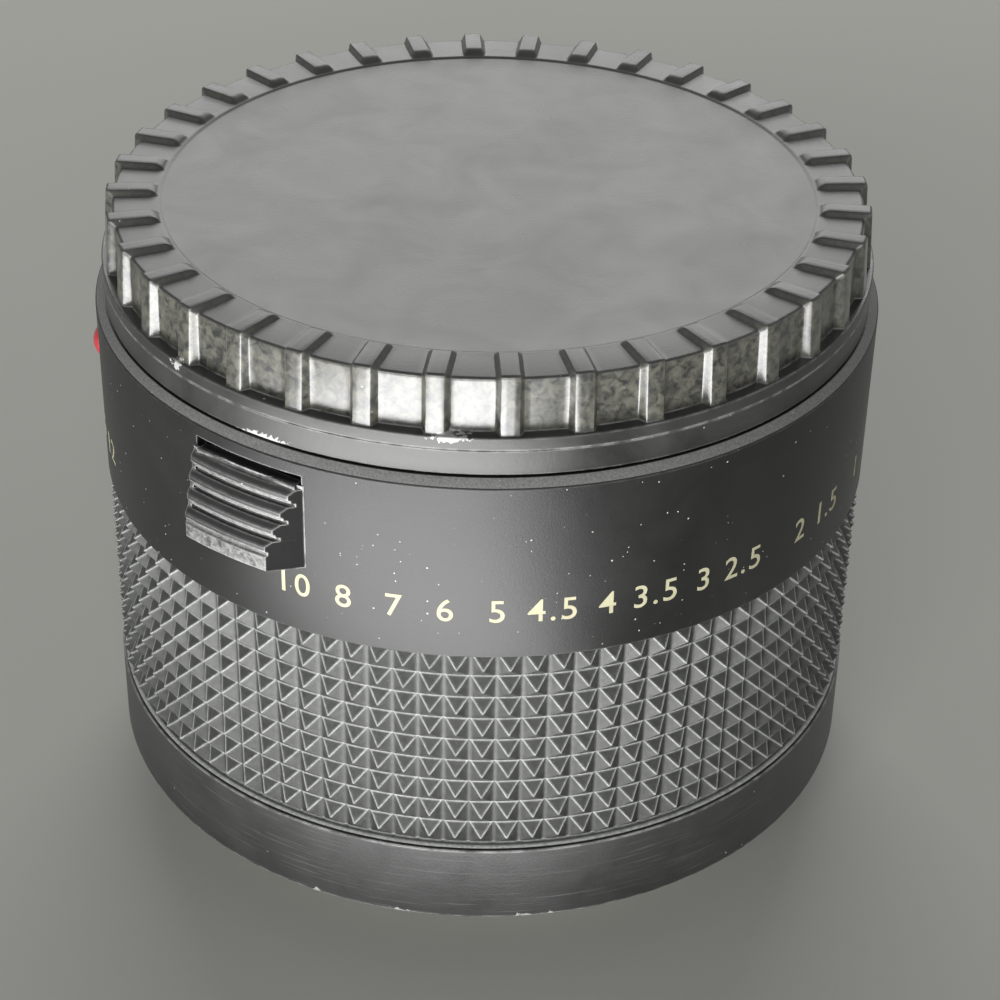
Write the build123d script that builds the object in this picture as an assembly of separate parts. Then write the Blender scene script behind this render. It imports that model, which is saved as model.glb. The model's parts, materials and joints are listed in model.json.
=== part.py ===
"""A macro-focusing camera teleconverter standing on its rear bayonet, with a cap on its front.

Millimetres. The origin is on the optical axis, in the plane that the rear bayonet stands on.
+Z runs along the axis towards the lens, and an azimuth is measured from -Y (the side that
faces the viewer) towards +X.
"""
import math
import os

from build123d import *

# Clearances and overruns shared by many pieces
overrun = 1.0             # how far a cutter runs past the face it opens
running_gap = 0.1         # radial clearance of pieces that turn or slide on each other
face_gap = 0.2            # axial clearance of pieces that turn or slide on each other
free_gap = 0.3            # clearance between pieces that move past each other
seat_gap = 0.05           # radial clearance of a piece dropped into its fixed seat
thread_gap = 0.03         # radial clearance of a screw in its hole

# Outside of the barrel
barrel_radius = 32.0
bayonet_depth = 5.2       # rear bayonet behind its flange face
flange_lip = 0.31         # rear flange face behind the base ring
base_height = 7.09
base_edge = 0.08          # edge break on the upper edge of the base ring
grip_groove = 0.12        # open groove between base ring and rubber
grip_height = 18.98
grip_joint = 0.1          # joint between rubber and front shell at rest
front_height = 15.0       # front shell up to its bevel
bevel = 0.67
wall = 0.8                # wall of the thin tubes
shell_wall = 1.6
edge_break = 0.2

flange_z = bayonet_depth
base_z = flange_z + flange_lip
base_top_z = base_z + base_height
grip_z = base_top_z + grip_groove
grip_top_z = grip_z + grip_height
shell_z = grip_top_z + grip_joint
shell_edge_z = shell_z + front_height
front_face_z = shell_edge_z + bevel

# Focusing travel
focus_turn = 270.0        # degrees
focus_travel = 17.4
follower_azimuths = (90.0, 210.0, 330.0)

# Bayonets, both to the same three-lug pattern
mount_margin = 3.0        # rear mount inside the outside of the barrel
mount_flange_width = 6.8
bayonet_wall = 1.3
bayonet_lug_depth = 1.8
mount_screw_edge = 3.1    # screw axes inside the edge of the rear mount
notch_edge = 1.6
mount_radius = barrel_radius - mount_margin
bayonet_tube_radius = mount_radius - mount_flange_width
bayonet_bore = bayonet_tube_radius - bayonet_wall
bayonet_lug_radius = bayonet_tube_radius + bayonet_lug_depth
bayonet_lug_height = 1.6
bayonet_lug_angle = 48.0
bayonet_lug_azimuths = (25.0, 145.0, 265.0)
mount_thickness = 1.7
mount_screw_circle = mount_radius - mount_screw_edge
mount_screw_azimuths = (0.0, 72.0, 144.0, 216.0, 288.0)
notch_radius = 1.1
notch_circle = mount_radius - notch_edge

# Screws
screw_shank = 0.75
screw_head = 1.4
screw_head_height = 0.6
small_shank = 0.6
small_head = 1.1
small_head_height = 0.45
screw_bite_share = 0.8    # of the threaded piece's thickness that a screw fills
driver_slot_width = 0.3
driver_slot_depth = 0.25

# Rear barrel and the fixed tube inside it
floor_thickness = 1.5
floor_bore = bayonet_bore + free_gap
base_wall = 0.8
guide_depth = 5.9         # bore of the guide tube inside the outside of the barrel
guide_inner = barrel_radius - guide_depth
guide_wall = 1.0
guide_foot_width = 2.6
guide_foot_height = 0.9
guide_screw_azimuths = (20.0, 140.0, 260.0)
guide_top_margin = 1.3    # metal above the end of a guide slot
floor_z = flange_z + mount_thickness
floor_top_z = floor_z + floor_thickness
mount_screw_length = mount_thickness + screw_bite_share * floor_thickness
guide_outer = guide_inner + guide_wall
guide_foot_radius = guide_outer + guide_foot_width
guide_screw_circle = (guide_outer + guide_foot_radius) / 2
foot_top_z = floor_top_z + guide_foot_height

# Focus ring: cam tube, sleeve and rubber
cam_wall = 0.8
cam_flange_height = 1.2
cam_inner = guide_outer + free_gap
cam_outer = cam_inner + cam_wall
draw_inner = cam_outer + free_gap
draw_outer = draw_inner + wall
sleeve_inner = draw_outer + running_gap
rubber_thickness = 1.35   # from the points to the sleeve
sleeve_step = 0.45
sleeve_outer = barrel_radius - rubber_thickness
sleeve_neck_radius = sleeve_outer - sleeve_step
keeper_height = 1.3
cam_z = foot_top_z + running_gap
cam_flange_top_z = cam_z + cam_flange_height
base_inner = barrel_radius - base_wall
cam_flange_radius = base_inner - free_gap
grip_rows = 9
grip_land = 0.18          # plain edge above and below the rows of points
grip_depth = 0.9          # from the points down to the valleys

# Cam followers
roller_radius = 1.1
roller_bore = 0.6
follower_height = 2.0     # follower axis above the lower end of the draw tube
draw_z = cam_flange_top_z + free_gap
follower_z = draw_z + follower_height
slot_radius = roller_radius + running_gap
follower_top_z = follower_z + focus_travel
guide_top_z = follower_top_z + slot_radius + guide_top_margin
cam_top_z = guide_top_z - face_gap

# Lens cell and its glass
cell_z = 4.6
cell_height = 30.6
cell_flange_height = 1.0
front_bore_wall = 2.1
rear_bore_step = 2.4      # rear bore inside the front bore
cell_stop_width = 1.7
cell_stop_z = 18.0        # rear face of the wall between the two bores
cell_stop_thickness = 1.5
ring_width = 1.9          # radial width of spacers, retaining rings and the lands of the glass
support_thickness = 1.5
support_screw_edge = 2.5  # screw axes inside the bore of the guide tube
support_screw_azimuths = (36.0, 156.0, 276.0)
guard_wall = 1.0
guard_recess = 0.8        # guard stops this far short of the standing plane
support_top_z = floor_top_z + support_thickness
cell_top_z = cell_z + cell_height

# Aperture couplings: the outer pair carries the aperture setting, the inner pair stops down
tab_thickness = 1.0
tab_half_width = 1.6
tab_recess = 1.4          # tabs stop this far inside the mount faces
ring_height = 1.2
setting_margin = 0.5      # setting rings inside the bore of the guide tube
setting_width = 6.2
setting_azimuth = 60.0
setting_turn = 55.0
stop_margin = 3.6         # stop-down rings inside the setting rings
stop_width = 4.6
cell_flange_gap = 0.4
cell_gap = 1.7            # lens cell inside the stop-down rings
stop_azimuth = 190.0
stop_turn = 20.0
fork_half_width = 2.1
fork_cheek = 0.8
fork_back = 0.4
bar_depth = 0.8
fork_top_gap = 1.6        # fork ends this far below the front keeper
setting_fork_depth = 1.6  # fork's bore inside the edge of its ring
stop_fork_depth = 2.1
bar_gap = 0.15
bar_lap = 2.6             # bar still in its fork at full extension
keeper_plate = 0.6
clip_height = 0.8         # spring clip that holds the rear stop ring down
clip_lap = 0.7            # radial overlap of the clip and that ring
window_angle_margin = 6.0
setting_outer = guide_inner - setting_margin
setting_inner = setting_outer - setting_width
fork_setting_inner = setting_outer - setting_fork_depth
stop_outer = setting_outer - stop_margin
stop_inner = stop_outer - stop_width
fork_stop_inner = stop_outer - stop_fork_depth
cell_radius = stop_inner - cell_gap
cell_flange_radius = stop_inner - cell_flange_gap
front_bore = cell_radius - front_bore_wall
rear_bore = front_bore - rear_bore_step
cell_stop_radius = rear_bore - cell_stop_width
guard_inner = cell_radius + face_gap
guard_outer = guard_inner + guard_wall
support_screw_circle = guide_inner - support_screw_edge

# Front shell, its mount and the ring stack behind it
seat_thickness = 1.55
front_mount_margin = 2.5  # front mount inside the outside of the barrel
front_mount_width = 5.1
front_lug_depth = 1.9
front_mount_thickness = 2.07
front_lug_height = 1.6
front_lug_angle = 60.0
front_screw_edge = 2.1    # screw axes inside the edge of the front mount
front_screw_azimuths = (0.0, 72.0, 144.0, 216.0, 288.0)
leaf_thickness = 0.25
leaf_depth = 1.2          # leaf springs reach this far into the throat
leaf_angle = 44.0
draw_flange_height = 1.6
draw_flange_lift = 1.1    # draw tube flange above the lower edge of the shell
stack_gap = 1.3           # ring stack inside the bore of the shell
pillar_radius = 1.1
pillar_collar = 1.5
pillar_pin = 0.7
pillar_edge = 0.2         # metal outside the collar of a pillar
pillar_azimuths = (40.0, 160.0, 280.0)
carrier_thickness = 1.0
front_keeper_thickness = 0.8
front_keeper_lift = 0.8   # keeper plate above the draw tube's flange
seat_z = front_face_z - front_mount_thickness - leaf_thickness - seat_thickness
shell_inner = barrel_radius - shell_wall
stack_radius = shell_inner - stack_gap
pillar_circle = stack_radius - pillar_collar - pillar_edge
front_mount_radius = barrel_radius - front_mount_margin
front_mount_bore = front_mount_radius - front_mount_width
front_lug_bore = front_mount_bore - front_lug_depth
front_screw_circle = front_mount_radius - front_screw_edge
seat_inner = front_mount_bore + free_gap
leaf_inner = front_mount_bore - leaf_depth
front_mount_z = front_face_z - front_mount_thickness
front_screw_length = front_mount_thickness + screw_bite_share * seat_thickness

# Release slide with its lock pin
release_azimuth = -33.5
release_travel = 2.0
button_half_width = 4.75
button_height = 7.2
button_top_drop = 1.75    # button top below the edge of the bevel
button_rise_top = 0.25    # ribbed face above the barrel at its upper end
button_rise_nose = 1.9
button_side_slope = 2.1   # how far the right side leans in at the nose
button_steps = 4
button_groove = 0.45
nose_height_share = 0.2   # of the button's height that is plain nose
neck_half_width = 4.6
neck_height = 3.9
window_half_width = 4.9
pocket_depth = 1.3        # upper half of the window is a pocket this deep
window_top_gap = 0.8      # dark gap above the neck
plate_thickness = 0.8
plate_half_width = 3.2
plate_height = 6.0
plate_inner = shell_inner - free_gap - plate_thickness
arm_thickness = 1.0
arm_half_width = 1.7
pin_radius = 0.8
pin_edge = 2.6            # lock pin inside the edge of the front mount
arm_reach = 1.0           # arm past the axis of the lock pin
pin_rise = 1.0            # lock pin above the front flange face
bush_radius = 1.5
spring_wire = 0.15
spring_radius = 0.85
spring_turns = 6
spring_offset = 1.0       # spring outside the axis of the lock pin
release_zone_angle = 30.0
pin_circle = front_mount_radius - pin_edge
arm_inner = pin_circle - arm_reach
spring_circle = pin_circle + spring_offset

# Index bead
bead_azimuth = -82.0
bead_radius = 1.2
bead_drop = 3.9           # bead centre below the edge of the bevel
bead_rise = 0.45
bead_depth = 0.8

# Front cap
cap_gap = 0.13            # skirt above the front flange face
skirt_margin = 0.75       # skirt inside the outside of the barrel
skirt_wall = 1.35
skirt_height = 3.1
cap_face_step = 0.9       # wide faces inside the skirt
cap_rib_depth = 0.65
cap_rib_height = 4.78
cap_rib_step = 0.45       # ribs above the rim
cap_rib_count = 36
cap_rib_azimuth = 3.3
cap_rib_base_width = 1.95
cap_rib_face_width = 1.34
cap_rim_width = 4.25
cap_disc_drop = 0.5       # disc below the rim
cap_dish = 0.3            # middle of the disc below its edge
cap_wall = 1.5
cap_tube_gap = 0.4        # cap's tube inside the lugs of the mount
cap_tube_wall = 1.2
cap_lug_gap = 0.5         # cap's lugs inside the bore of the mount
cap_lug_height = 1.6
cap_lug_clear = 0.15      # below the leaf springs
cap_lug_lag = 5.0         # lugs sit this far back from the middle of the mount's lugs
cap_stop_angle = 2.5
rib_end_length = 1.2      # rounded inner end of a rib
rib_corner = 0.25
skirt_radius = barrel_radius - skirt_margin
skirt_inner = skirt_radius - skirt_wall
cap_face_radius = skirt_radius - cap_face_step
cap_rib_radius = cap_face_radius + cap_rib_depth
cap_disc_radius = cap_face_radius - cap_rim_width
cap_tube_outer = front_lug_bore - cap_tube_gap
cap_tube_inner = cap_tube_outer - cap_tube_wall
cap_lug_radius = front_mount_bore - cap_lug_gap

skirt_z = front_face_z + cap_gap
ledge_z = skirt_z + skirt_height
cap_top_z = ledge_z + cap_rib_height
rim_z = cap_top_z - cap_rib_step
disc_z = rim_z - cap_disc_drop


def turned(points):
    """Solid turned about the axis from an outline of (radius, height) points."""
    return revolve(Plane.XZ * make_face(Polyline(*points, close=True)), Axis.Z)


def band(inner, outer, low, high):
    """Ring of rectangular section."""
    return turned([(inner, low), (outer, low), (outer, high), (inner, high)])


def sector(inner, outer, low, high, start, stop):
    """Part of a ring between two azimuths."""
    outline = make_face(Polyline((inner, low), (outer, low), (outer, high), (inner, high), close=True))
    return at(start, revolve(Plane.XZ * outline, Axis.Z, revolution_arc=stop - start))


def at(azimuth, shape):
    """Turn a shape made along +X to an azimuth."""
    return Rot(0, 0, azimuth - 90) * shape


def block(inner, outer, half_width, low, high, azimuth, offset=0):
    """Box along a radius, between two distances from the axis."""
    box = Box(outer - inner, 2 * half_width, high - low)
    return at(azimuth, Pos((inner + outer) / 2, offset, (low + high) / 2) * box)


def post(radius, low, high, circle, azimuth):
    """Upright cylinder at a place on a circle."""
    return at(azimuth, Pos(circle, 0, (low + high) / 2) * Cylinder(radius, high - low))


def spoke(radius, inner, outer, height, azimuth):
    """Cylinder that lies along a radius."""
    rod = Rot(0, 90, 0) * Cylinder(radius, outer - inner)
    return at(azimuth, Pos((inner + outer) / 2, 0, height) * rod)


def screw(shank, head, head_height, length):
    """Screw with its head's top face at height zero and its shank pointing down."""
    body = Pos(0, 0, -head_height / 2) * Cylinder(head, head_height)
    body += Pos(0, 0, -(head_height + length) / 2) * Cylinder(shank, length - head_height)
    for turn in (0, 90):
        slot = Box(2 * head - 2 * driver_slot_depth, driver_slot_width, 2 * driver_slot_depth)
        body -= Rot(0, 0, turn) * slot
    return body


def upright_screws(shank, head, head_height, length, top, circle, azimuths, flipped=False):
    """Ring of equal screws, heads up or heads down."""
    turn = Rot(180, 0, 0) if flipped else Rot(0, 0, 0)
    one = Pos(circle, 0, top) * (turn * screw(shank, head, head_height, length))
    return Compound([at(azimuth, one) for azimuth in azimuths])


def screw_holes(shank, low, high, circle, azimuths):
    """Cutters for the shanks of a ring of screws."""
    return [post(shank + thread_gap, low, high, circle, azimuth) for azimuth in azimuths]


def counterbored_holes(shank, head, head_height, length, top, circle, azimuths, flipped=False):
    """Cutters for a ring of screws, with the counterbores of their heads."""
    sign = -1 if flipped else 1
    low, high = sorted((top, top - sign * length))
    shanks = screw_holes(shank, low, high, circle, azimuths)
    low, high = sorted((top + sign * overrun, top - sign * head_height))
    return shanks + screw_holes(head, low, high, circle, azimuths)


def cut(shape, cutters):
    """Shape less a list of cutters, as one solid."""
    for cutter in cutters:
        shape = shape - cutter
    return shape


def bulge(edge_radius, sag, radius):
    """Height of a shallow sphere above its edge, at a distance from the axis."""
    sphere = (edge_radius**2 + sag**2) / (2 * abs(sag))
    return math.copysign(math.sqrt(sphere**2 - radius**2) - sphere + abs(sag), sag)


def glass(rim_radius, low, high, top_sag, bottom_sag):
    """Lens element with a flat land at its rim, each face bulging out by its sag or in if negative."""
    clear = rim_radius - ring_width

    def face_curve(height, sag, direction):
        half = clear / 2
        middle = height + direction * bulge(clear, sag, half)
        curve = ThreePointArc((0, height + direction * sag), (half, middle), (clear, height))
        return [curve, Line((clear, height), (rim_radius, height))]

    top = face_curve(high, top_sag, 1)
    bottom = face_curve(low, bottom_sag, -1)
    rim = Line((rim_radius, high), (rim_radius, low))
    axis = Line((0, low - bottom_sag), (0, high + top_sag))
    return revolve(Plane.XZ * make_face(top + [rim] + bottom + [axis]), Axis.Z)


# Root body: rear barrel, mount, guide tube and optics

def rear_barrel():
    profile = [
        (floor_bore, floor_z),
        (mount_radius + running_gap, floor_z),
        (mount_radius + running_gap, base_z),
        (barrel_radius - edge_break, base_z),
        (barrel_radius, base_z + edge_break),
        (barrel_radius, base_top_z - base_edge),
        (barrel_radius - base_edge, base_top_z),
        (base_inner, base_top_z),
        (base_inner, floor_top_z),
        (floor_bore, floor_top_z),
    ]
    mount = screw_holes(screw_shank, floor_z, flange_z + mount_screw_length, mount_screw_circle,
                        mount_screw_azimuths)
    guide = counterbored_holes(small_shank, small_head, small_head_height, floor_thickness, floor_z,
                               guide_screw_circle, guide_screw_azimuths, flipped=True)
    support = screw_holes(small_shank, floor_z, floor_top_z, support_screw_circle,
                          support_screw_azimuths)
    return cut(turned(profile), mount + guide + support)


def rear_mount():
    body = band(bayonet_bore, mount_radius, flange_z, floor_z)
    body += band(bayonet_bore, bayonet_tube_radius, 0, flange_z)
    for azimuth in bayonet_lug_azimuths:
        body += sector(bayonet_tube_radius - seat_gap, bayonet_lug_radius, 0, bayonet_lug_height,
                       azimuth - bayonet_lug_angle / 2, azimuth + bayonet_lug_angle / 2)
    holes = counterbored_holes(screw_shank, screw_head, screw_head_height, mount_thickness, flange_z,
                               mount_screw_circle, mount_screw_azimuths, flipped=True)
    notch = post(notch_radius, flange_z - overrun, flange_z + mount_thickness / 2, notch_circle,
                 release_azimuth)
    return cut(body, holes + [notch])


def rear_mount_screws():
    return upright_screws(screw_shank, screw_head, screw_head_height, mount_screw_length, flange_z,
                          mount_screw_circle, mount_screw_azimuths, flipped=True)


def guide_tube():
    body = band(guide_inner, guide_outer, floor_top_z, guide_top_z)
    body += band(guide_outer - seat_gap, guide_foot_radius, floor_top_z, foot_top_z)
    cutters = screw_holes(small_shank, floor_top_z, foot_top_z, guide_screw_circle,
                          guide_screw_azimuths)
    for azimuth in follower_azimuths:
        cutters.append(block(guide_inner - overrun, guide_outer + overrun, slot_radius, follower_z,
                             follower_top_z, azimuth))
        for height in (follower_z, follower_top_z):
            cutters.append(spoke(slot_radius, guide_inner - overrun, guide_outer + overrun, height,
                                 azimuth))
    return cut(body, cutters)


def guide_tube_screws():
    return upright_screws(small_shank, small_head, small_head_height,
                          floor_thickness + guide_foot_height, floor_z, guide_screw_circle,
                          guide_screw_azimuths, flipped=True)


def turn_window(inner, outer, low, high, azimuth, turn):
    """Cutter that leaves a tab, bar or fork free to swing through its turn."""
    return sector(inner, outer, low, high, azimuth - window_angle_margin,
                  azimuth + turn + window_angle_margin)


def cell_support():
    body = band(cell_radius + seat_gap, guide_inner - seat_gap, floor_top_z, support_top_z)
    low, high = floor_top_z - overrun, support_top_z + overrun
    cutters = [
        turn_window(setting_inner - face_gap, setting_inner + tab_thickness + face_gap, low, high,
                    setting_azimuth, setting_turn),
        turn_window(stop_inner - face_gap, stop_inner + tab_thickness + face_gap, low, high,
                    stop_azimuth, stop_turn),
    ]
    cutters += counterbored_holes(small_shank, small_head, small_head_height, support_thickness,
                                  support_top_z, support_screw_circle, support_screw_azimuths)
    return cut(body, cutters)


def cell_support_screws():
    return upright_screws(small_shank, small_head, small_head_height,
                          support_thickness + screw_bite_share * floor_thickness, support_top_z,
                          support_screw_circle, support_screw_azimuths)


def rear_guard():
    return band(guard_inner, guard_outer, guard_recess, floor_top_z)


def focus_keeper():
    low = cam_flange_top_z + face_gap
    return band(sleeve_neck_radius + running_gap, base_inner, low, low + keeper_height)


def lens_cell():
    stop_top = cell_stop_z + cell_stop_thickness
    flange_top = support_top_z + cell_flange_height
    return turned([
        (rear_bore, cell_z),
        (cell_radius, cell_z),
        (cell_radius, support_top_z),
        (cell_flange_radius, support_top_z),
        (cell_flange_radius, flange_top),
        (cell_radius, flange_top),
        (cell_radius, cell_top_z),
        (front_bore, cell_top_z),
        (front_bore, stop_top),
        (cell_stop_radius, stop_top),
        (cell_stop_radius, cell_stop_z),
        (rear_bore, cell_stop_z),
    ])


# The glass is stacked outwards from the wall between the bores. Each entry is a name, what it
# is, its rim height and, for glass, how far its upper and lower faces bulge.
front_stack = [
    ("lens_element_4", "glass", 2.3, -0.9, -0.6),
    ("spacer_ring_2", "ring", 2.0, 0, 0),
    ("lens_element_3", "glass", 3.2, -1.3, -1.0),
    ("lens_element_2", "glass", 2.6, 1.5, 1.3),
    ("spacer_ring_1", "ring", 1.9, 0, 0),
    ("lens_element_1", "glass", 2.0, 1.4, -0.7),
    ("front_retaining_ring", "ring", 1.7, 0, 0),
]
rear_stack = [
    ("lens_element_5", "glass", 2.3, -0.8, -0.8),
    ("spacer_ring_3", "ring", 2.0, 0, 0),
    ("lens_element_6", "glass", 2.6, 1.1, 1.2),
    ("lens_element_7", "glass", 2.8, -1.2, -0.7),
    ("rear_retaining_ring", "ring", 1.6, 0, 0),
]


def optics():
    """Glass, spacers and retaining rings of both bores, by name."""
    pieces = {}
    for stack, bore, sign, start in (
        (front_stack, front_bore, 1, cell_stop_z + cell_stop_thickness),
        (rear_stack, rear_bore, -1, cell_stop_z),
    ):
        here = start
        for name, kind, height, top_sag, bottom_sag in stack:
            low, high = sorted((here, here + sign * height))
            rim = bore - seat_gap
            if kind == "glass":
                pieces[name] = glass(rim, low, high, top_sag, bottom_sag)
            else:
                pieces[name] = band(rim - ring_width, rim, low, high)
            here += sign * height
    return pieces


# Rings that carry the aperture couplings through the converter

rear_setting_z = support_top_z + face_gap
rear_keeper_z = rear_setting_z + ring_height + face_gap
rear_stop_z = rear_keeper_z + keeper_plate + face_gap
clip_z = rear_stop_z + ring_height + face_gap

shelf_z = shell_z + draw_flange_lift + draw_flange_height
front_keeper_z = shelf_z + front_keeper_lift
front_stop_z = front_keeper_z + front_keeper_thickness + face_gap
carrier_z = front_stop_z + ring_height + face_gap
front_setting_z = carrier_z + carrier_thickness + face_gap
clip_plate_z = front_setting_z + ring_height + face_gap
fork_top_z = front_keeper_z - fork_top_gap
bar_z = fork_top_z - bar_lap - focus_travel


def coupling_ring(inner, outer, low, azimuth, tab_far):
    """Flat ring with a tab that reaches away from it along the axis."""
    body = band(inner, outer, low, low + ring_height)
    tab_low, tab_high = sorted((tab_far, low + ring_height / 2))
    tab = block(inner, inner + tab_thickness, tab_half_width, tab_low, tab_high, azimuth)
    bore = Pos(0, 0, low) * Cylinder(inner, 2 * ring_height)
    return body + (tab - bore)


def coupling_fork(inner, low, azimuth):
    """Upright channel in which the bar of the front ring slides."""
    outer = inner + bar_depth + 2 * bar_gap + fork_back
    body = block(inner, outer, fork_half_width, low, fork_top_z, azimuth)
    groove = block(inner - overrun, outer - fork_back, fork_half_width - fork_cheek,
                   low - overrun, fork_top_z + overrun, azimuth)
    return body - groove


def coupling_bar(inner, high, azimuth):
    """Flat bar that hangs from a front ring into its fork."""
    return block(inner + bar_gap, inner + bar_gap + bar_depth,
                 fork_half_width - fork_cheek - bar_gap, bar_z, high, azimuth)


def rear_setting_ring():
    return coupling_ring(setting_inner, setting_outer, rear_setting_z, setting_azimuth, tab_recess)


def rear_stop_ring():
    return coupling_ring(stop_inner, stop_outer, rear_stop_z, stop_azimuth, tab_recess)


def front_setting_ring():
    return coupling_ring(setting_inner, setting_outer, front_setting_z, setting_azimuth,
                         front_face_z - tab_recess)


def front_stop_ring():
    return coupling_ring(stop_inner, stop_outer, front_stop_z, stop_azimuth,
                         front_face_z - tab_recess)


def rear_ring_keeper():
    body = band(stop_inner + tab_thickness + free_gap, guide_inner - seat_gap, rear_keeper_z,
                rear_keeper_z + keeper_plate)
    window = turn_window(fork_setting_inner - face_gap, guide_inner + overrun,
                         rear_keeper_z - overrun, rear_keeper_z + keeper_plate + overrun,
                         setting_azimuth, setting_turn)
    return body - window


def stop_ring_clip():
    return band(cell_radius + seat_gap, stop_inner + clip_lap, clip_z, clip_z + clip_height)


def pillar_holes(radius, low, high):
    return [post(radius, low, high, pillar_circle, azimuth) for azimuth in pillar_azimuths]


def release_gap(low, high, inner):
    """Cutter that opens a plate of the front stack behind the release slide."""
    return sector(inner, stack_radius + overrun, low, high, release_azimuth - release_zone_angle / 2,
                  release_azimuth + release_zone_angle / 2)


def bar_window(low, high):
    return turn_window(fork_setting_inner - face_gap, setting_outer + free_gap, low, high,
                       setting_azimuth, setting_turn)


def front_ring_keeper():
    top = front_keeper_z + front_keeper_thickness
    body = band(fork_stop_inner + bar_gap + bar_depth + free_gap, stack_radius, front_keeper_z, top)
    low, high = front_keeper_z - overrun, top + overrun
    return cut(body, pillar_holes(pillar_pin + thread_gap, low, high) + [bar_window(low, high)])


def ring_carrier():
    top = carrier_z + carrier_thickness
    body = band(stop_inner + tab_thickness + running_gap + free_gap, stack_radius, carrier_z, top)
    low, high = carrier_z - overrun, top + overrun
    cutters = pillar_holes(pillar_pin + thread_gap, low, high)
    cutters += [bar_window(low, high), release_gap(low, high, setting_outer + free_gap)]
    return cut(body, cutters)


def front_ring_clip():
    top = clip_plate_z + keeper_plate
    body = band(setting_outer - tab_thickness, stack_radius, clip_plate_z, top)
    low, high = clip_plate_z - overrun, top + overrun
    cutters = pillar_holes(pillar_radius + thread_gap, low, high)
    cutters.append(release_gap(low, high, setting_outer - tab_thickness - overrun))
    return cut(body, cutters)


def stack_pillars():
    pillars = []
    for azimuth in pillar_azimuths:
        pillar = post(pillar_radius, clip_plate_z, seat_z, pillar_circle, azimuth)
        pillar += post(pillar_collar, carrier_z + carrier_thickness, clip_plate_z, pillar_circle, azimuth)
        pillar += post(pillar_pin, front_keeper_z, carrier_z + carrier_thickness, pillar_circle, azimuth)
        pillar += post(pillar_radius, front_keeper_z - free_gap, front_keeper_z, pillar_circle, azimuth)
        pillars.append(pillar)
    return Compound(pillars)


def stack_spacers():
    low = front_keeper_z + front_keeper_thickness
    spacers = []
    for azimuth in pillar_azimuths:
        spacer = post(pillar_collar, low, carrier_z, pillar_circle, azimuth)
        spacers.append(spacer - post(pillar_pin + thread_gap, low, carrier_z, pillar_circle, azimuth))
    return Compound(spacers)


# Focus ring


def cam_tube():
    body = band(cam_inner, cam_outer, cam_z, cam_top_z)
    body += band(cam_outer - seat_gap, cam_flange_radius, cam_z, cam_flange_top_z)
    lead = focus_travel * 360 / focus_turn
    middle = (cam_inner + cam_outer) / 2
    depth = cam_outer - cam_inner + overrun
    path = Helix(lead, focus_travel, middle, lefthand=True)
    start = Plane(origin=path @ 0, x_dir=(1, 0, 0), z_dir=path % 0)
    groove = sweep(start * Rectangle(depth, 2 * slot_radius), path=path, is_frenet=True)
    for azimuth in follower_azimuths:
        body -= at(azimuth, Pos(0, 0, follower_z) * groove)
        for turn, height in ((0, follower_z), (focus_turn, follower_top_z)):
            body -= spoke(slot_radius, cam_inner - overrun, cam_outer + overrun, height,
                          azimuth - turn)
    return body


def focus_sleeve():
    return turned([
        (sleeve_inner, cam_flange_top_z),
        (sleeve_neck_radius, cam_flange_top_z),
        (sleeve_neck_radius, grip_z),
        (sleeve_outer, grip_z),
        (sleeve_outer, grip_top_z),
        (sleeve_inner, grip_top_z),
    ])


def grip_rubber():
    valley = barrel_radius - grip_depth
    row = (grip_height - 2 * grip_land) / grip_rows
    outline = [(sleeve_outer, grip_z), (valley, grip_z), (valley, grip_z + grip_land)]
    for index in range(grip_rows):
        foot = grip_z + grip_land + index * row
        outline.append((barrel_radius, foot + row / 2))
        outline.append((valley, foot + row))
    outline += [(valley, grip_top_z), (sleeve_outer, grip_top_z)]
    return turned(outline)


# Front body


def draw_tube():
    low = shell_z + draw_flange_lift
    head_depth = small_head_height + running_gap
    body = turned([
        (draw_inner, draw_z),
        (draw_outer, draw_z),
        (draw_outer, low),
        (shell_inner - seat_gap, low),
        (shell_inner - seat_gap, shelf_z),
        (draw_inner, shelf_z),
    ])
    holes = []
    for azimuth in follower_azimuths:
        holes.append(spoke(small_shank + thread_gap, draw_inner - overrun, draw_outer + overrun,
                           follower_z, azimuth))
        holes.append(spoke(small_head + thread_gap, draw_outer - head_depth, draw_outer + overrun,
                           follower_z, azimuth))
    return cut(body, holes)


def cam_followers():
    inner = guide_inner + face_gap
    rollers = []
    for azimuth in follower_azimuths:
        roller = spoke(roller_radius, inner, draw_inner - running_gap, follower_z, azimuth)
        bore = spoke(roller_bore + thread_gap, inner - overrun, draw_inner + overrun, follower_z, azimuth)
        rollers.append(roller - bore)
    return Compound(rollers)


def follower_screws():
    length = draw_outer - guide_inner - 2 * face_gap
    one = screw(roller_bore, small_head, small_head_height, length)
    lying = Pos(draw_outer - running_gap, 0, follower_z) * (Rot(0, 90, 0) * one)
    return Compound([at(azimuth, lying) for azimuth in follower_azimuths])


neck_top_z = shell_edge_z - button_top_drop
neck_z = neck_top_z - neck_height
window_z = neck_z - release_travel - free_gap
window_top_z = neck_top_z + window_top_gap
neck_inner = plate_inner + plate_thickness


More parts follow.
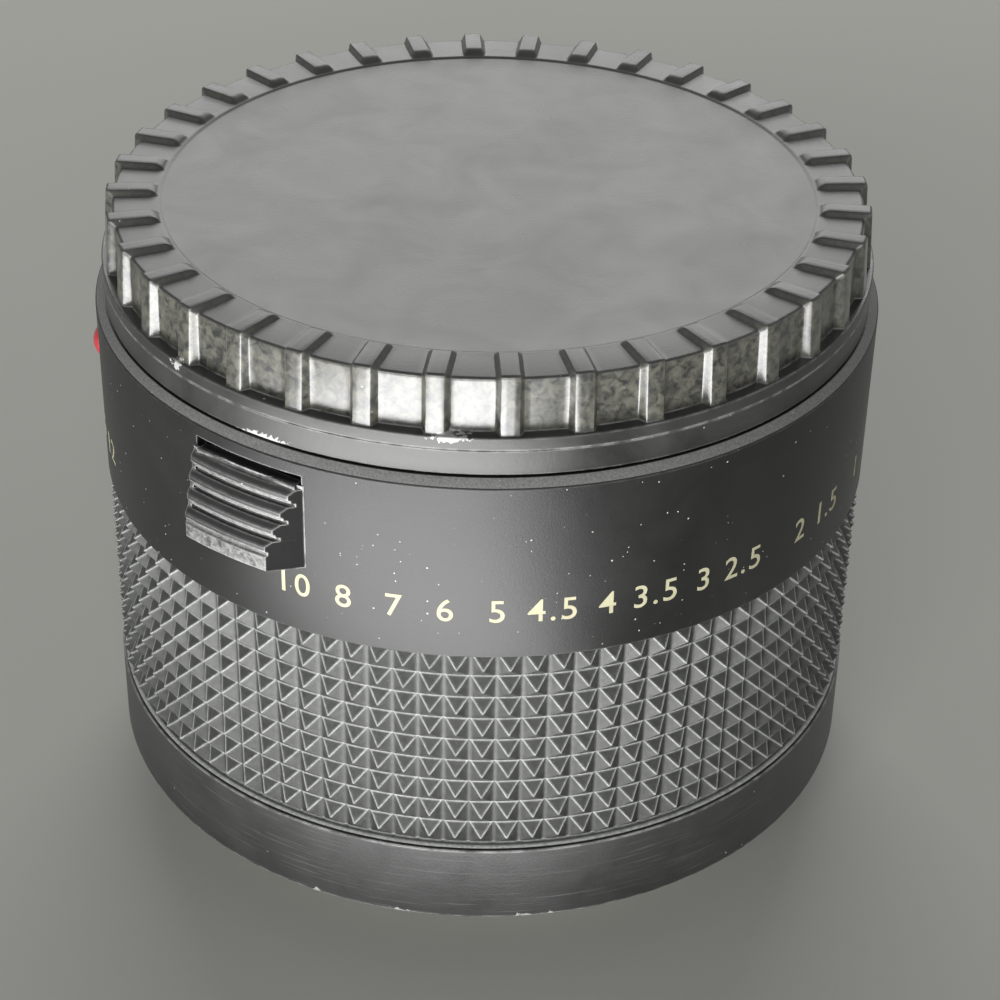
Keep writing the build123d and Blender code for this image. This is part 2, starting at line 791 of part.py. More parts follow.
def front_shell():
    body = turned([
        (shell_inner, shell_z),
        (barrel_radius, shell_z),
        (barrel_radius, shell_edge_z),
        (barrel_radius - bevel, front_face_z),
        (front_mount_radius + running_gap, front_face_z),
        (front_mount_radius + running_gap, seat_z + seat_thickness),
        (seat_inner, seat_z + seat_thickness),
        (seat_inner, seat_z),
        (shell_inner, seat_z),
    ])
    cutters = [
        block(neck_inner - free_gap, barrel_radius + overrun, window_half_width, window_z, seat_z,
              release_azimuth),
        block(barrel_radius - pocket_depth, barrel_radius + overrun, window_half_width,
              seat_z - seat_gap, window_top_z, release_azimuth),
        post(bush_radius + thread_gap, seat_z - overrun, front_mount_z, pin_circle, release_azimuth),
        at(bead_azimuth, Pos(barrel_radius - bead_depth / 2, 0, shell_edge_z - bead_drop)
           * (Rot(0, 90, 0) * Cylinder(bead_radius + thread_gap, bead_depth + bead_depth / 2))),
    ]
    cutters += screw_holes(screw_shank, seat_z - overrun, front_mount_z, front_screw_circle,
                           front_screw_azimuths)
    return cut(body, cutters)


def front_mount():
    body = band(front_mount_bore, front_mount_radius, front_mount_z, front_face_z)
    for azimuth in bayonet_lug_azimuths:
        start = azimuth - front_lug_angle / 2
        body += sector(front_lug_bore, front_mount_bore + seat_gap, front_face_z - front_lug_height,
                       front_face_z, start, start + front_lug_angle)
    first = bayonet_lug_azimuths[0] - cap_lug_lag - bayonet_lug_angle / 2
    body += sector(front_lug_bore, front_mount_bore + seat_gap, front_mount_z,
                   front_face_z - front_lug_height, first - 2 * cap_stop_angle, first - cap_stop_angle)
    holes = counterbored_holes(screw_shank, screw_head, screw_head_height, front_mount_thickness,
                               front_face_z, front_screw_circle, front_screw_azimuths)
    pin_hole = post(pin_radius + running_gap, front_mount_z - overrun, front_face_z + overrun,
                    pin_circle, release_azimuth)
    return cut(body, holes + [pin_hole])


def front_mount_screws():
    return upright_screws(screw_shank, screw_head, screw_head_height, front_screw_length,
                          front_face_z, front_screw_circle, front_screw_azimuths)


def mount_leaf_spring():
    low = seat_z + seat_thickness
    body = band(seat_inner, front_mount_radius, low, front_mount_z)
    for azimuth in bayonet_lug_azimuths:
        start = azimuth - leaf_angle / 2
        body += sector(leaf_inner, seat_inner + seat_gap, low, front_mount_z, start, start + leaf_angle)
    holes = screw_holes(screw_shank, low - overrun, front_mount_z + overrun, front_screw_circle,
                        front_screw_azimuths)
    holes.append(post(bush_radius + thread_gap, low - overrun, front_mount_z + overrun, pin_circle,
                      release_azimuth))
    return cut(body, holes)


def lock_pin_bush():
    bush = post(bush_radius, seat_z, front_mount_z, pin_circle, release_azimuth)
    return bush - post(pin_radius + seat_gap, seat_z - overrun, front_mount_z + overrun, pin_circle,
                       release_azimuth)


def index_bead():
    stem = Cylinder(bead_radius, bead_depth)
    ball = (bead_radius**2 + bead_rise**2) / (2 * bead_rise)
    dome = Pos(0, 0, bead_depth / 2 + bead_rise - ball) * Sphere(ball)
    keep = Pos(0, 0, bead_depth / 2 + bead_rise / 2) * Cylinder(bead_radius, bead_rise)
    bead = stem + (dome & keep)
    return at(bead_azimuth, Pos(barrel_radius - bead_depth / 2, 0, shell_edge_z - bead_drop)
              * (Rot(0, 90, 0) * bead))


# Release slide


def release_button():
    """Wedge with curved steps, its right side leaning in, on a neck that fills the window."""
    foot = barrel_radius
    low = neck_top_z - button_height
    nose_top = low + nose_height_share * button_height
    step = (neck_top_z - nose_top) / button_steps
    outline = [(foot, neck_top_z)]
    for index in range(button_steps):
        upper = neck_top_z - index * step
        share = (index + 1) / button_steps
        crest = foot + button_rise_top + share * (button_rise_nose - button_rise_top)
        outline.append((crest - button_groove, upper))
        outline.append((crest, upper - step + button_groove / 2))
        if index < button_steps - 1:
            outline.append((crest, upper - step + button_groove / 4))
    outline += [(foot + button_rise_nose, low), (foot, low)]
    ribbed = turned(outline)
    lean = button_half_width - button_side_slope
    far = foot + button_rise_nose
    near = foot - overrun
    plan = make_face(Polyline((near, -button_half_width), (far, -button_half_width), (far, lean),
                              (foot, button_half_width), (near, button_half_width), close=True))
    prism = Pos(0, 0, low) * extrude(plan, button_height)
    wedge = ribbed & at(release_azimuth, prism)
    clear = band(barrel_radius - overrun, barrel_radius + running_gap, low - overrun,
                 neck_top_z + overrun)
    neck = block(neck_inner, barrel_radius + 2 * running_gap, neck_half_width, neck_z, seat_z - free_gap,
                 release_azimuth)
    neck += block(barrel_radius - pocket_depth + free_gap, barrel_radius + 2 * running_gap,
                  neck_half_width, seat_z - 2 * free_gap, neck_top_z, release_azimuth)
    return (wedge - clear) + neck


def release_plate():
    top = seat_z - free_gap
    body = block(plate_inner, neck_inner, plate_half_width, top - plate_height, top, release_azimuth)
    arm = block(arm_inner, plate_inner + seat_gap, arm_half_width, top - arm_thickness, top,
                release_azimuth)
    return (body + arm) - post(pin_radius, top - 2 * arm_thickness, top + overrun, pin_circle,
                               release_azimuth)


def lock_pin():
    low = seat_z - free_gap - arm_thickness
    pin = post(pin_radius, low, front_face_z + pin_rise, pin_circle, release_azimuth)
    tip = pin.faces().sort_by(Axis.Z)[-1]
    return chamfer(tip.edges(), edge_break)


def release_spring():
    low = front_keeper_z + front_keeper_thickness + spring_wire
    high = seat_z - free_gap - arm_thickness - spring_wire
    path = Helix((high - low) / spring_turns, high - low, spring_radius)
    wire = sweep(Plane(origin=path @ 0, z_dir=path % 0) * Circle(spring_wire), path=path,
                 is_frenet=True)
    return at(release_azimuth, Pos(spring_circle, 0, low) * wire)


# Front cap


def body_cap():
    plate_z = disc_z - cap_dish - cap_wall
    half = cap_disc_radius / 2
    low = seat_z + seat_thickness - cap_lug_clear - cap_lug_height
    face = [
        Line((cap_tube_inner, low), (cap_tube_outer, low)),
        Line((cap_tube_outer, low), (cap_tube_outer, plate_z)),
        Line((cap_tube_outer, plate_z), (skirt_inner, plate_z)),
        Line((skirt_inner, plate_z), (skirt_inner, skirt_z)),
        Line((skirt_inner, skirt_z), (skirt_radius, skirt_z)),
        Line((skirt_radius, skirt_z), (skirt_radius, ledge_z)),
        Line((skirt_radius, ledge_z), (cap_face_radius, ledge_z)),
        Line((cap_face_radius, ledge_z), (cap_face_radius, rim_z - edge_break)),
        Line((cap_face_radius, rim_z - edge_break), (cap_face_radius - edge_break, rim_z)),
        Line((cap_face_radius - edge_break, rim_z), (cap_disc_radius + cap_disc_drop, rim_z)),
        RadiusArc((cap_disc_radius + cap_disc_drop, rim_z), (cap_disc_radius, disc_z), cap_disc_drop),
        ThreePointArc((cap_disc_radius, disc_z), (half, disc_z + bulge(cap_disc_radius, -cap_dish, half)),
                      (0, disc_z - cap_dish)),
        Line((0, disc_z - cap_dish), (0, plate_z)),
        Line((0, plate_z), (cap_tube_inner, plate_z)),
        Line((cap_tube_inner, plate_z), (cap_tube_inner, low)),
    ]
    body = revolve(Plane.XZ * make_face(face), Axis.Z)
    for azimuth in bayonet_lug_azimuths:
        start = azimuth - cap_lug_lag - bayonet_lug_angle / 2
        body += sector(cap_tube_outer - seat_gap, cap_lug_radius, low, low + cap_lug_height, start,
                       start + bayonet_lug_angle)
    for rib in cap_ribs():
        body += rib
    return body


def cap_ribs():
    """Ribs round the cap: one section turned about the axis, kept only where the ribs stand."""
    end = cap_disc_radius + rib_end_length
    root_z = disc_z - cap_wall / 2
    root = (skirt_inner + cap_face_radius) / 2
    section = [
        Line((cap_disc_radius + edge_break, root_z), (root, root_z)),
        Line((root, root_z), (root, ledge_z)),
        Line((root, ledge_z), (cap_rib_radius, ledge_z)),
        Line((cap_rib_radius, ledge_z), (cap_rib_radius, cap_top_z - rib_corner)),
        Line((cap_rib_radius, cap_top_z - rib_corner), (cap_rib_radius - rib_corner, cap_top_z)),
        Line((cap_rib_radius - rib_corner, cap_top_z), (end, cap_top_z)),
        ThreePointArc((end, cap_top_z), (cap_disc_radius + rib_end_length / 3, rim_z),
                      (cap_disc_radius + edge_break, disc_z)),
        Line((cap_disc_radius + edge_break, disc_z), (cap_disc_radius + edge_break, root_z)),
    ]
    ring = revolve(Plane.XZ * make_face(section), Axis.Z)
    half_base = cap_rib_base_width / 2
    half_face = cap_rib_face_width / 2
    tooth = make_face(Polyline(
        (cap_disc_radius, -half_base), (cap_face_radius, -half_base), (cap_rib_radius, -half_face),
        (cap_rib_radius, half_face), (cap_face_radius, half_base), (cap_disc_radius, half_base),
        close=True))
    prism = Pos(0, 0, ledge_z) * extrude(tooth, cap_rib_height)
    rib = ring & prism
    pitch = 360 / cap_rib_count
    return [at(cap_rib_azimuth + index * pitch, rib) for index in range(cap_rib_count)]


pieces = {
    "rear_barrel": rear_barrel(),
    "rear_mount": rear_mount(),
    "rear_mount_screws": rear_mount_screws(),
    "guide_tube": guide_tube(),
    "guide_tube_screws": guide_tube_screws(),
    "cell_support": cell_support(),
    "cell_support_screws": cell_support_screws(),
    "rear_guard": rear_guard(),
    "focus_keeper": focus_keeper(),
    "lens_cell": lens_cell(),
    "rear_setting_ring": rear_setting_ring(),
    "setting_fork": coupling_fork(fork_setting_inner, rear_setting_z + ring_height, setting_azimuth),
    "rear_ring_keeper": rear_ring_keeper(),
    "rear_stop_ring": rear_stop_ring(),
    "stop_fork": coupling_fork(fork_stop_inner, rear_stop_z + ring_height, stop_azimuth),
    "stop_ring_clip": stop_ring_clip(),
    "front_setting_ring": front_setting_ring(),
    "setting_bar": coupling_bar(fork_setting_inner, front_setting_z, setting_azimuth),
    "front_stop_ring": front_stop_ring(),
    "stop_bar": coupling_bar(fork_stop_inner, front_stop_z, stop_azimuth),
    "front_ring_keeper": front_ring_keeper(),
    "ring_carrier": ring_carrier(),
    "front_ring_clip": front_ring_clip(),
    "stack_pillars": stack_pillars(),
    "stack_spacers": stack_spacers(),
    "cam_tube": cam_tube(),
    "focus_sleeve": focus_sleeve(),
    "grip_rubber": grip_rubber(),
    "draw_tube": draw_tube(),
    "cam_followers": cam_followers(),
    "follower_screws": follower_screws(),
    "front_shell": front_shell(),
    "front_mount": front_mount(),
    "front_mount_screws": front_mount_screws(),
    "mount_leaf_spring": mount_leaf_spring(),
    "lock_pin_bush": lock_pin_bush(),
    "index_bead": index_bead(),
    "release_button": release_button(),
    "release_plate": release_plate(),
    "lock_pin": lock_pin(),
    "release_spring": release_spring(),
    "body_cap": body_cap(),
}
pieces.update(optics())

os.makedirs("parts", exist_ok=True)
for name, shape in pieces.items():
    export_step(shape, f"parts/{name}.step")
    print(name, len(shape.solids()), round(shape.volume, 2))
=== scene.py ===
"""Looks of a macro-focusing camera teleconverter that stands on its rear bayonet.

Sizes of the pieces are in millimetres and turn into Blender's metres where a mesh is made. Widths
and scales of the finishes are in metres and per metre. An azimuth is measured from -Y (the viewer's
side) towards +X, in degrees.
"""
import json
import logging
import math
from collections.abc import Callable
from dataclasses import dataclass, field
from enum import Enum

import bmesh
import bpy
from mathutils import Matrix, Vector


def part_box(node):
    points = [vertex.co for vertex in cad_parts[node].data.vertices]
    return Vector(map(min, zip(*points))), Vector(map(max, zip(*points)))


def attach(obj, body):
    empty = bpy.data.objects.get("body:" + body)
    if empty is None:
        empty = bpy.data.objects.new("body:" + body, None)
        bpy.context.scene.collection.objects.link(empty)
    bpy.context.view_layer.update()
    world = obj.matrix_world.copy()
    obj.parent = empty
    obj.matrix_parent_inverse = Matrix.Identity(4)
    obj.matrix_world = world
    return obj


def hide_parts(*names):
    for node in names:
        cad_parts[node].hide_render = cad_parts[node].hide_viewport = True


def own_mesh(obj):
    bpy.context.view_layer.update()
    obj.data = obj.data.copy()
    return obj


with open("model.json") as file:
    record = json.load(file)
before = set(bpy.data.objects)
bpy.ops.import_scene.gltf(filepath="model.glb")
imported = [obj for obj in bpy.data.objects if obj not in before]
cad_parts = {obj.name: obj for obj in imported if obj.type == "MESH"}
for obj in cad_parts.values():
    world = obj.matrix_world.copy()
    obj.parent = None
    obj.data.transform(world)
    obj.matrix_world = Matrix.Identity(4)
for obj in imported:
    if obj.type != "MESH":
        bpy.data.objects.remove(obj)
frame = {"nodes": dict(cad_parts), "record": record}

logging.basicConfig(level=logging.INFO, format="%(levelname)s %(message)s")
log = logging.getLogger("teleconverter")

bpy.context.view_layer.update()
MM = 0.001
WELD = 1e-7
SHARP_ANGLE = 38.0
ROUNDING_SHARE = 0.45
MIX_INPUTS = (0, 6, 7)
MIX_RESULT = 2
Profile = list[tuple[float, float]]
Colour = tuple[float, float, float]
Socket = bpy.types.NodeSocket


def node_range(node: str) -> tuple[float, float]:
    """Lowest and highest height of a CAD node, in millimetres."""
    low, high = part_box(node)
    return low[2] / MM, high[2] / MM


def at_azimuth(azimuth: float, radius: float, height: float) -> Vector:
    """Point in metres from an azimuth in degrees, a radius and a height."""
    turn = math.radians(azimuth)
    return Vector((radius * math.sin(turn), -radius * math.cos(turn), height)) * MM


def smooth(share: float) -> float:
    """Share from 0 to 1, eased at both ends."""
    share = min(max(share, 0.0), 1.0)
    return share * share * (3 - 2 * share)


def rounded(corners: list[tuple[float, float, float]], steps: int = 4) -> Profile:
    """Closed outline whose corners are rounded.

    Args:
        corners: radius, height and rounding of each corner.
        steps: straight pieces in each rounding.

    Returns:
        The outline's points.
    """
    outline: Profile = []
    count = len(corners)
    for index, (radius, height, rounding) in enumerate(corners):
        here = Vector((radius, height))
        back = Vector(corners[index - 1][:2]) - here
        ahead = Vector(corners[(index + 1) % count][:2]) - here
        if rounding <= 0:
            outline.append((radius, height))
            continue
        half = back.angle(ahead) / 2
        reach = min(rounding / math.tan(half), ROUNDING_SHARE * back.length,
                    ROUNDING_SHARE * ahead.length)
        start = here + back.normalized() * reach
        stop = here + ahead.normalized() * reach
        for step in range(steps + 1):
            share = step / steps
            point = start.lerp(here, share).lerp(here.lerp(stop, share), share)
            outline.append((point.x, point.y))
    return outline


def finish_mesh(name: str, build: bmesh.types.BMesh,
                sharp: float = SHARP_ANGLE) -> bpy.types.Object:
    """Turn a finished bmesh into a linked object with smooth shading.

    Args:
        name: the object's name.
        build: the finished bmesh, which is freed.
        sharp: the angle in degrees from which an edge stays sharp.

    Returns:
        The new object.
    """
    bmesh.ops.remove_doubles(build, verts=build.verts, dist=WELD)
    bmesh.ops.recalc_face_normals(build, faces=build.faces)
    mesh = bpy.data.meshes.new(name)
    build.to_mesh(mesh)
    build.free()
    mesh.shade_smooth()
    mesh.set_sharp_from_angle(angle=math.radians(sharp))
    piece = bpy.data.objects.new(name, mesh)
    bpy.context.scene.collection.objects.link(piece)
    return piece


def grid(build: bmesh.types.BMesh, columns: int, rows: int, place: Callable[[int, int], Vector],
         round_columns: bool = True, round_rows: bool = True) -> None:
    """Add a grid of quads to a bmesh.

    Args:
        build: the bmesh that takes the faces.
        columns: points one way.
        rows: points the other way.
        place: gives the point at a column and a row, in metres.
        round_columns: join the last column to the first.
        round_rows: join the last row to the first.
    """
    verts = [[build.verts.new(place(column, row)) for row in range(rows)]
             for column in range(columns)]
    for column in range(columns if round_columns else columns - 1):
        following = (column + 1) % columns
        for row in range(rows if round_rows else rows - 1):
            above = (row + 1) % rows
            corners = (verts[column][row], verts[following][row], verts[following][above],
                       verts[column][above])
            build.faces.new(corners)


def lathe(name: str, outline: Profile, segments: int) -> bpy.types.Object:
    """Turn a closed outline about the axis.

    Args:
        name: the object's name.
        outline: radius and height of each point.
        segments: columns in the whole turn.

    Returns:
        The new object.
    """
    build = bmesh.new()

    def place(column: int, row: int) -> Vector:
        """Point of the outline at one turn."""
        return at_azimuth(360 * column / segments, *outline[row])

    grid(build, segments, len(outline), place)
    return finish_mesh(name, build)


def radial_block(build: bmesh.types.BMesh, inner: float, outer: float, half_width: float,
                 low: float, high: float, azimuth: float, soften: float = 0.0) -> None:
    """Add a box that lies along a radius, with softened edges if asked.

    Args:
        build: the bmesh that takes the faces.
        inner: the radius where the box starts.
        outer: the radius where it ends.
        half_width: half its width across the radius.
        low: its lower height.
        high: its upper height.
        azimuth: its direction.
        soften: the width of the bevel on its edges.
    """
    made = bmesh.ops.create_cube(build, size=1.0)["verts"]
    turn = Matrix.Rotation(math.radians(azimuth - 90), 4, "Z")
    size = Matrix.Diagonal(((outer - inner) * MM, 2 * half_width * MM, (high - low) * MM, 1))
    move = Matrix.Translation(Vector(((inner + outer) / 2, 0, (low + high) / 2)) * MM)
    bmesh.ops.transform(build, matrix=turn @ move @ size, verts=made)
    if soften > 0:
        edges = list(dict.fromkeys(edge for vert in made for edge in vert.link_edges))
        bmesh.ops.bevel(build, geom=edges, offset=soften * MM, segments=3, profile=0.5,
                        affect="EDGES")


def carve(piece: bpy.types.Object, cutter: bpy.types.Object) -> None:
    """Cut one object's shape out of another, and delete the cutter.

    Args:
        piece: the object that is cut.
        cutter: the object that is taken away.
    """
    knife = piece.modifiers.new("cut", "BOOLEAN")
    knife.operation = "DIFFERENCE"
    knife.solver = "EXACT"
    knife.object = cutter
    bpy.context.view_layer.update()
    seen = piece.evaluated_get(bpy.context.evaluated_depsgraph_get())
    mesh = bpy.data.meshes.new_from_object(seen)
    piece.modifiers.clear()
    piece.data = mesh
    mesh.set_sharp_from_angle(angle=math.radians(SHARP_ANGLE))
    bpy.data.objects.remove(cutter)


@dataclass
class Graph:
    """A node tree being filled in."""

    tree: bpy.types.NodeTree

    def add(self, kind: str, inputs: dict | None = None, **settings: object) -> bpy.types.Node:
        """Add a node.

        Args:
            kind: the node's type, without the ShaderNode prefix.
            inputs: socket names or numbers, with a value or the socket to link.
            settings: properties of the node.

        Returns:
            The new node.
        """
        name = kind if kind.startswith("Node") else f"ShaderNode{kind}"
        node = self.tree.nodes.new(name)
        for key, value in settings.items():
            setattr(node, key, value)
        for key, value in (inputs or {}).items():
            if isinstance(value, bpy.types.NodeSocket):
                self.tree.links.new(value, node.inputs[key])
            else:
                node.inputs[key].default_value = value
        return node

    def math(self, operation: str, first: object, second: object = 0.0,
             clamp: bool = False) -> Socket:
        """Result of a math node."""
        node = self.add("Math", {0: first, 1: second}, operation=operation, use_clamp=clamp)
        return node.outputs[0]

    def span(self, value: Socket, low: float, high: float, to_low: float = 0.0,
             to_high: float = 1.0) -> Socket:
        """Map a value from one range to another, and hold it inside.

        Args:
            value: the socket to map.
            low: the value that becomes to_low.
            high: the value that becomes to_high.
            to_low: the start of the new range.
            to_high: the end of the new range.

        Returns:
            The mapped value.
        """
        node = self.add("MapRange", {"Value": value, "From Min": low, "From Max": high,
                                     "To Min": to_low, "To Max": to_high})
        return node.outputs["Result"]

    def mix(self, factor: object, first: object, second: object) -> Socket:
        """Mix two colours.

        Args:
            factor: the second colour's share.
            first: the colour at 0.
            second: the colour at 1.

        Returns:
            The mixed colour.
        """
        values = dict(zip(MIX_INPUTS, (factor, first, second)))
        return self.add("Mix", values, data_type="RGBA").outputs[MIX_RESULT]


def new_group(name: str, inputs: dict[str, float], outputs: list[str]) -> Graph:
    """Start a shader node group with number inputs and outputs.

    Args:
        name: the group's name.
        inputs: its inputs and their values.
        outputs: its outputs.

    Returns:
        The group's node tree, ready to be filled in.
    """
    tree = bpy.data.node_groups.new(name, "ShaderNodeTree")
    for title, value in inputs.items():
        socket = tree.interface.new_socket(title, in_out="INPUT", socket_type="NodeSocketFloat")
        socket.default_value = value
    for title in outputs:
        tree.interface.new_socket(title, in_out="OUTPUT", socket_type="NodeSocketFloat")
    return Graph(tree)


class Effect(Enum):
    """Surface effects that several finishes share."""

    EDGE_WEAR_AND_HIGHLIGHT = "edge wear and highlight"
    DUST = "dust specks"
    RING_SCRATCHES = "ring scratches"
    CLOUDS = "clouds"
    GRAIN = "moulded grain"
    HEIGHT_BAND = "height band"
    WORN_SPOT = "worn spot"


class Effects:
    """Shader node groups of the shared effects, each built once."""

    break_span = (0.38, 0.58)
    upward_span = (0.15, 0.35)
    eased_upward_span = (0.08, 0.2)
    speck_bend_scale = 2500.0
    speck_bend = 0.00025
    scratch_limit = 0.72
    scratch_cover_share = 0.4
    scratch_gain = 9.0
    cloud_gain = 2.4
    lean_fade = 0.4
    ragged_scale = 2600.0
    ragged_span = (0.3, 0.7, -0.6, 0.9)
    spot_edge = 0.85

    def __init__(self) -> None:
        """Build every group."""
        self.groups: dict[Effect, bpy.types.NodeTree] = {
            Effect.EDGE_WEAR_AND_HIGHLIGHT: self.edge_wear_and_highlight(),
            Effect.DUST: self.dust(),
            Effect.RING_SCRATCHES: self.ring_scratches(),
            Effect.CLOUDS: self.clouds(),
            Effect.GRAIN: self.grain(),
            Effect.HEIGHT_BAND: self.height_band(),
            Effect.WORN_SPOT: self.worn_spot(),
        }

    def place(self, graph: Graph, effect: Effect, **inputs: float) -> Socket:
        """Put a group in a material with its own values.

        Args:
            graph: the material's node tree.
            effect: which group.
            inputs: the group's inputs, with underscores for spaces.

        Returns:
            The group's output socket.
        """
        node = graph.add("Group")
        node.node_tree = self.groups[effect]
        for key, value in inputs.items():
            node.inputs[key.replace("_", " ")].default_value = value
        return node.outputs[0]

    def edge_wear_and_highlight(self) -> bpy.types.NodeTree:
        """Mask the edges within a width, broken up by noise.

        Returns:
            The group's node tree.
        """
        graph = new_group(Effect.EDGE_WEAR_AND_HIGHLIGHT.value, {
            "Width": 0.0002, "Gain": 6.0, "Break Scale": 900.0, "Break Amount": 0.6,
            "Upper Only": 0.0}, ["Mask"])
        ends = graph.add("NodeGroupInput")
        soft = graph.add("Bevel", {"Radius": ends.outputs["Width"]}, samples=4)
        shape = graph.add("NewGeometry")
        near = graph.add("VectorMath", {0: soft.outputs[0], 1: shape.outputs["Normal"]},
                         operation="DOT_PRODUCT")
        edge = graph.math("SUBTRACT", 1.0, near.outputs["Value"], clamp=True)
        edge = graph.math("MULTIPLY", edge, ends.outputs["Gain"], clamp=True)
        where = graph.add("TexCoord")
        noise = graph.add("TexNoise", {"Vector": where.outputs["Object"],
                                       "Scale": ends.outputs["Break Scale"], "Detail": 4.0})
        broken = graph.span(noise.outputs[0], *self.break_span)
        loss = graph.math("MULTIPLY", graph.math("SUBTRACT", 1.0, broken),
                          ends.outputs["Break Amount"])
        mask = graph.math("MULTIPLY", edge, graph.math("SUBTRACT", 1.0, loss), clamp=True)
        # With Upper Only, the mask keeps to edges that face up, where light from above falls; on
        # the rubber this makes the mask a painted highlight.
        own = graph.add("SeparateXYZ", {"Vector": shape.outputs["Normal"]})
        eased = graph.add("SeparateXYZ", {"Vector": soft.outputs[0]})
        above = graph.math("MAXIMUM", graph.span(own.outputs[2], *self.upward_span),
                           graph.span(eased.outputs[2], *self.eased_upward_span))
        below = graph.math("MULTIPLY", graph.math("SUBTRACT", 1.0, above),
                           ends.outputs["Upper Only"])
        mask = graph.math("MULTIPLY", mask, graph.math("SUBTRACT", 1.0, below))
        graph.add("NodeGroupOutput", {"Mask": mask})
        return graph.tree

    def dust(self) -> bpy.types.NodeTree:
        """Mask small round specks scattered over a surface.

        Returns:
            The group's node tree.
        """
        graph = new_group(Effect.DUST.value, {"Scale": 900.0, "Size": 0.16, "Density": 0.12},
                          ["Mask"])
        ends = graph.add("NodeGroupInput")
        where = graph.add("TexCoord")
        bend = graph.add("TexNoise", {"Vector": where.outputs["Object"],
                                      "Scale": self.speck_bend_scale})
        pushed = graph.add("VectorMath", {0: bend.outputs["Color"], "Scale": self.speck_bend},
                           operation="SCALE")
        spot = graph.add("VectorMath", {0: where.outputs["Object"], 1: pushed.outputs[0]},
                         operation="ADD")
        cells = graph.add("TexVoronoi", {"Vector": spot.outputs[0], "Scale": ends.outputs["Scale"]})
        luck = graph.add("SeparateColor", {"Color": cells.outputs["Color"]})
        chosen = graph.math("LESS_THAN", luck.outputs[0], ends.outputs["Density"])
        size = graph.math("MULTIPLY", ends.outputs["Size"], luck.outputs[1])
        inside = graph.math("LESS_THAN", cells.outputs["Distance"], size)
        graph.add("NodeGroupOutput", {"Mask": graph.math("MULTIPLY", chosen, inside)})
        return graph.tree

    def ring_scratches(self) -> bpy.types.NodeTree:
        """Mask fine lines that run round the axis.

        Returns:
            The group's node tree.
        """
        graph = new_group(Effect.RING_SCRATCHES.value,
                          {"Lines": 5200.0, "Length": 3.0, "Cover": 0.3}, ["Mask"])
        ends = graph.add("NodeGroupInput")
        where = graph.add("TexCoord")
        axes = graph.add("SeparateXYZ", {"Vector": where.outputs["Object"]})
        flat = graph.add("CombineXYZ", {"X": axes.outputs[0], "Y": axes.outputs[1]})
        reach = graph.add("VectorMath", {0: flat.outputs[0]}, operation="LENGTH")
        turn = graph.math("ARCTAN2", axes.outputs[0],
                          graph.math("MULTIPLY", axes.outputs[1], -1.0))
        along = graph.math("MULTIPLY", turn, ends.outputs["Length"])
        upward = graph.math("MULTIPLY", axes.outputs[2], ends.outputs["Lines"])
        across = graph.math("ADD", upward, graph.math("MULTIPLY", reach.outputs["Value"],
                                                      ends.outputs["Lines"]))
        spot = graph.add("CombineXYZ", {"X": along, "Y": across})
        noise = graph.add("TexNoise", {"Vector": spot.outputs[0], "Scale": 1.0, "Detail": 3.0,
                                       "Roughness": 0.7})
        limit = graph.math("SUBTRACT", self.scratch_limit,
                           graph.math("MULTIPLY", ends.outputs["Cover"], self.scratch_cover_share))
        line = graph.math("SUBTRACT", noise.outputs[0], limit)
        mask = graph.math("MULTIPLY", line, self.scratch_gain, clamp=True)
        graph.add("NodeGroupOutput", {"Mask": mask})
        return graph.tree

    def clouds(self) -> bpy.types.NodeTree:
        """Make a soft uneven value that wanders over a surface.

        Returns:
            The group's node tree.
        """
        graph = new_group(Effect.CLOUDS.value, {"Scale": 60.0, "Contrast": 1.0}, ["Value"])
        ends = graph.add("NodeGroupInput")
        where = graph.add("TexCoord")
        noise = graph.add("TexNoise", {"Vector": where.outputs["Object"],
                                       "Scale": ends.outputs["Scale"], "Detail": 6.0,
                                       "Roughness": 0.6, "Distortion": 0.6})
        wide = graph.math("MULTIPLY", graph.math("SUBTRACT", noise.outputs[0], 0.5),
                          ends.outputs["Contrast"])
        value = graph.math("ADD", graph.math("MULTIPLY", wide, self.cloud_gain), 0.5, clamp=True)
        graph.add("NodeGroupOutput", {"Value": value})
        return graph.tree

    def grain(self) -> bpy.types.NodeTree:
        """Make the height of a fine uneven grain, for bump.

        Returns:
            The group's node tree.
        """
        graph = new_group(Effect.GRAIN.value, {"Scale": 4000.0}, ["Height"])
        ends = graph.add("NodeGroupInput")
        where = graph.add("TexCoord")
        fine = graph.add("TexNoise", {"Vector": where.outputs["Object"],
                                      "Scale": ends.outputs["Scale"], "Detail": 3.0,
                                      "Roughness": 0.6})
        graph.add("NodeGroupOutput", {"Height": fine.outputs[0]})
        return graph.tree

    def height_band(self) -> bpy.types.NodeTree:
        """Mask the surfaces between two heights that lean back by less than a tilt.

        Returns:
            The group's node tree.
        """
        graph = new_group(Effect.HEIGHT_BAND.value, {"Low": 0.0, "High": 0.1, "Tilt": 0.75},
                          ["Mask"])
        ends = graph.add("NodeGroupInput")
        where = graph.add("TexCoord")
        axes = graph.add("SeparateXYZ", {"Vector": where.outputs["Object"]})
        shape = graph.add("NewGeometry")
        facing = graph.add("SeparateXYZ", {"Vector": shape.outputs["Normal"]})
        lean = graph.math("SUBTRACT", ends.outputs["Tilt"],
                          graph.math("ABSOLUTE", facing.outputs[2]))
        upright = graph.span(lean, 0.0, self.lean_fade)
        over = graph.math("GREATER_THAN", axes.outputs[2], ends.outputs["Low"])
        under = graph.math("LESS_THAN", axes.outputs[2], ends.outputs["High"])
        mask = graph.math("MULTIPLY", upright, graph.math("MULTIPLY", over, under))
        graph.add("NodeGroupOutput", {"Mask": mask})
        return graph.tree

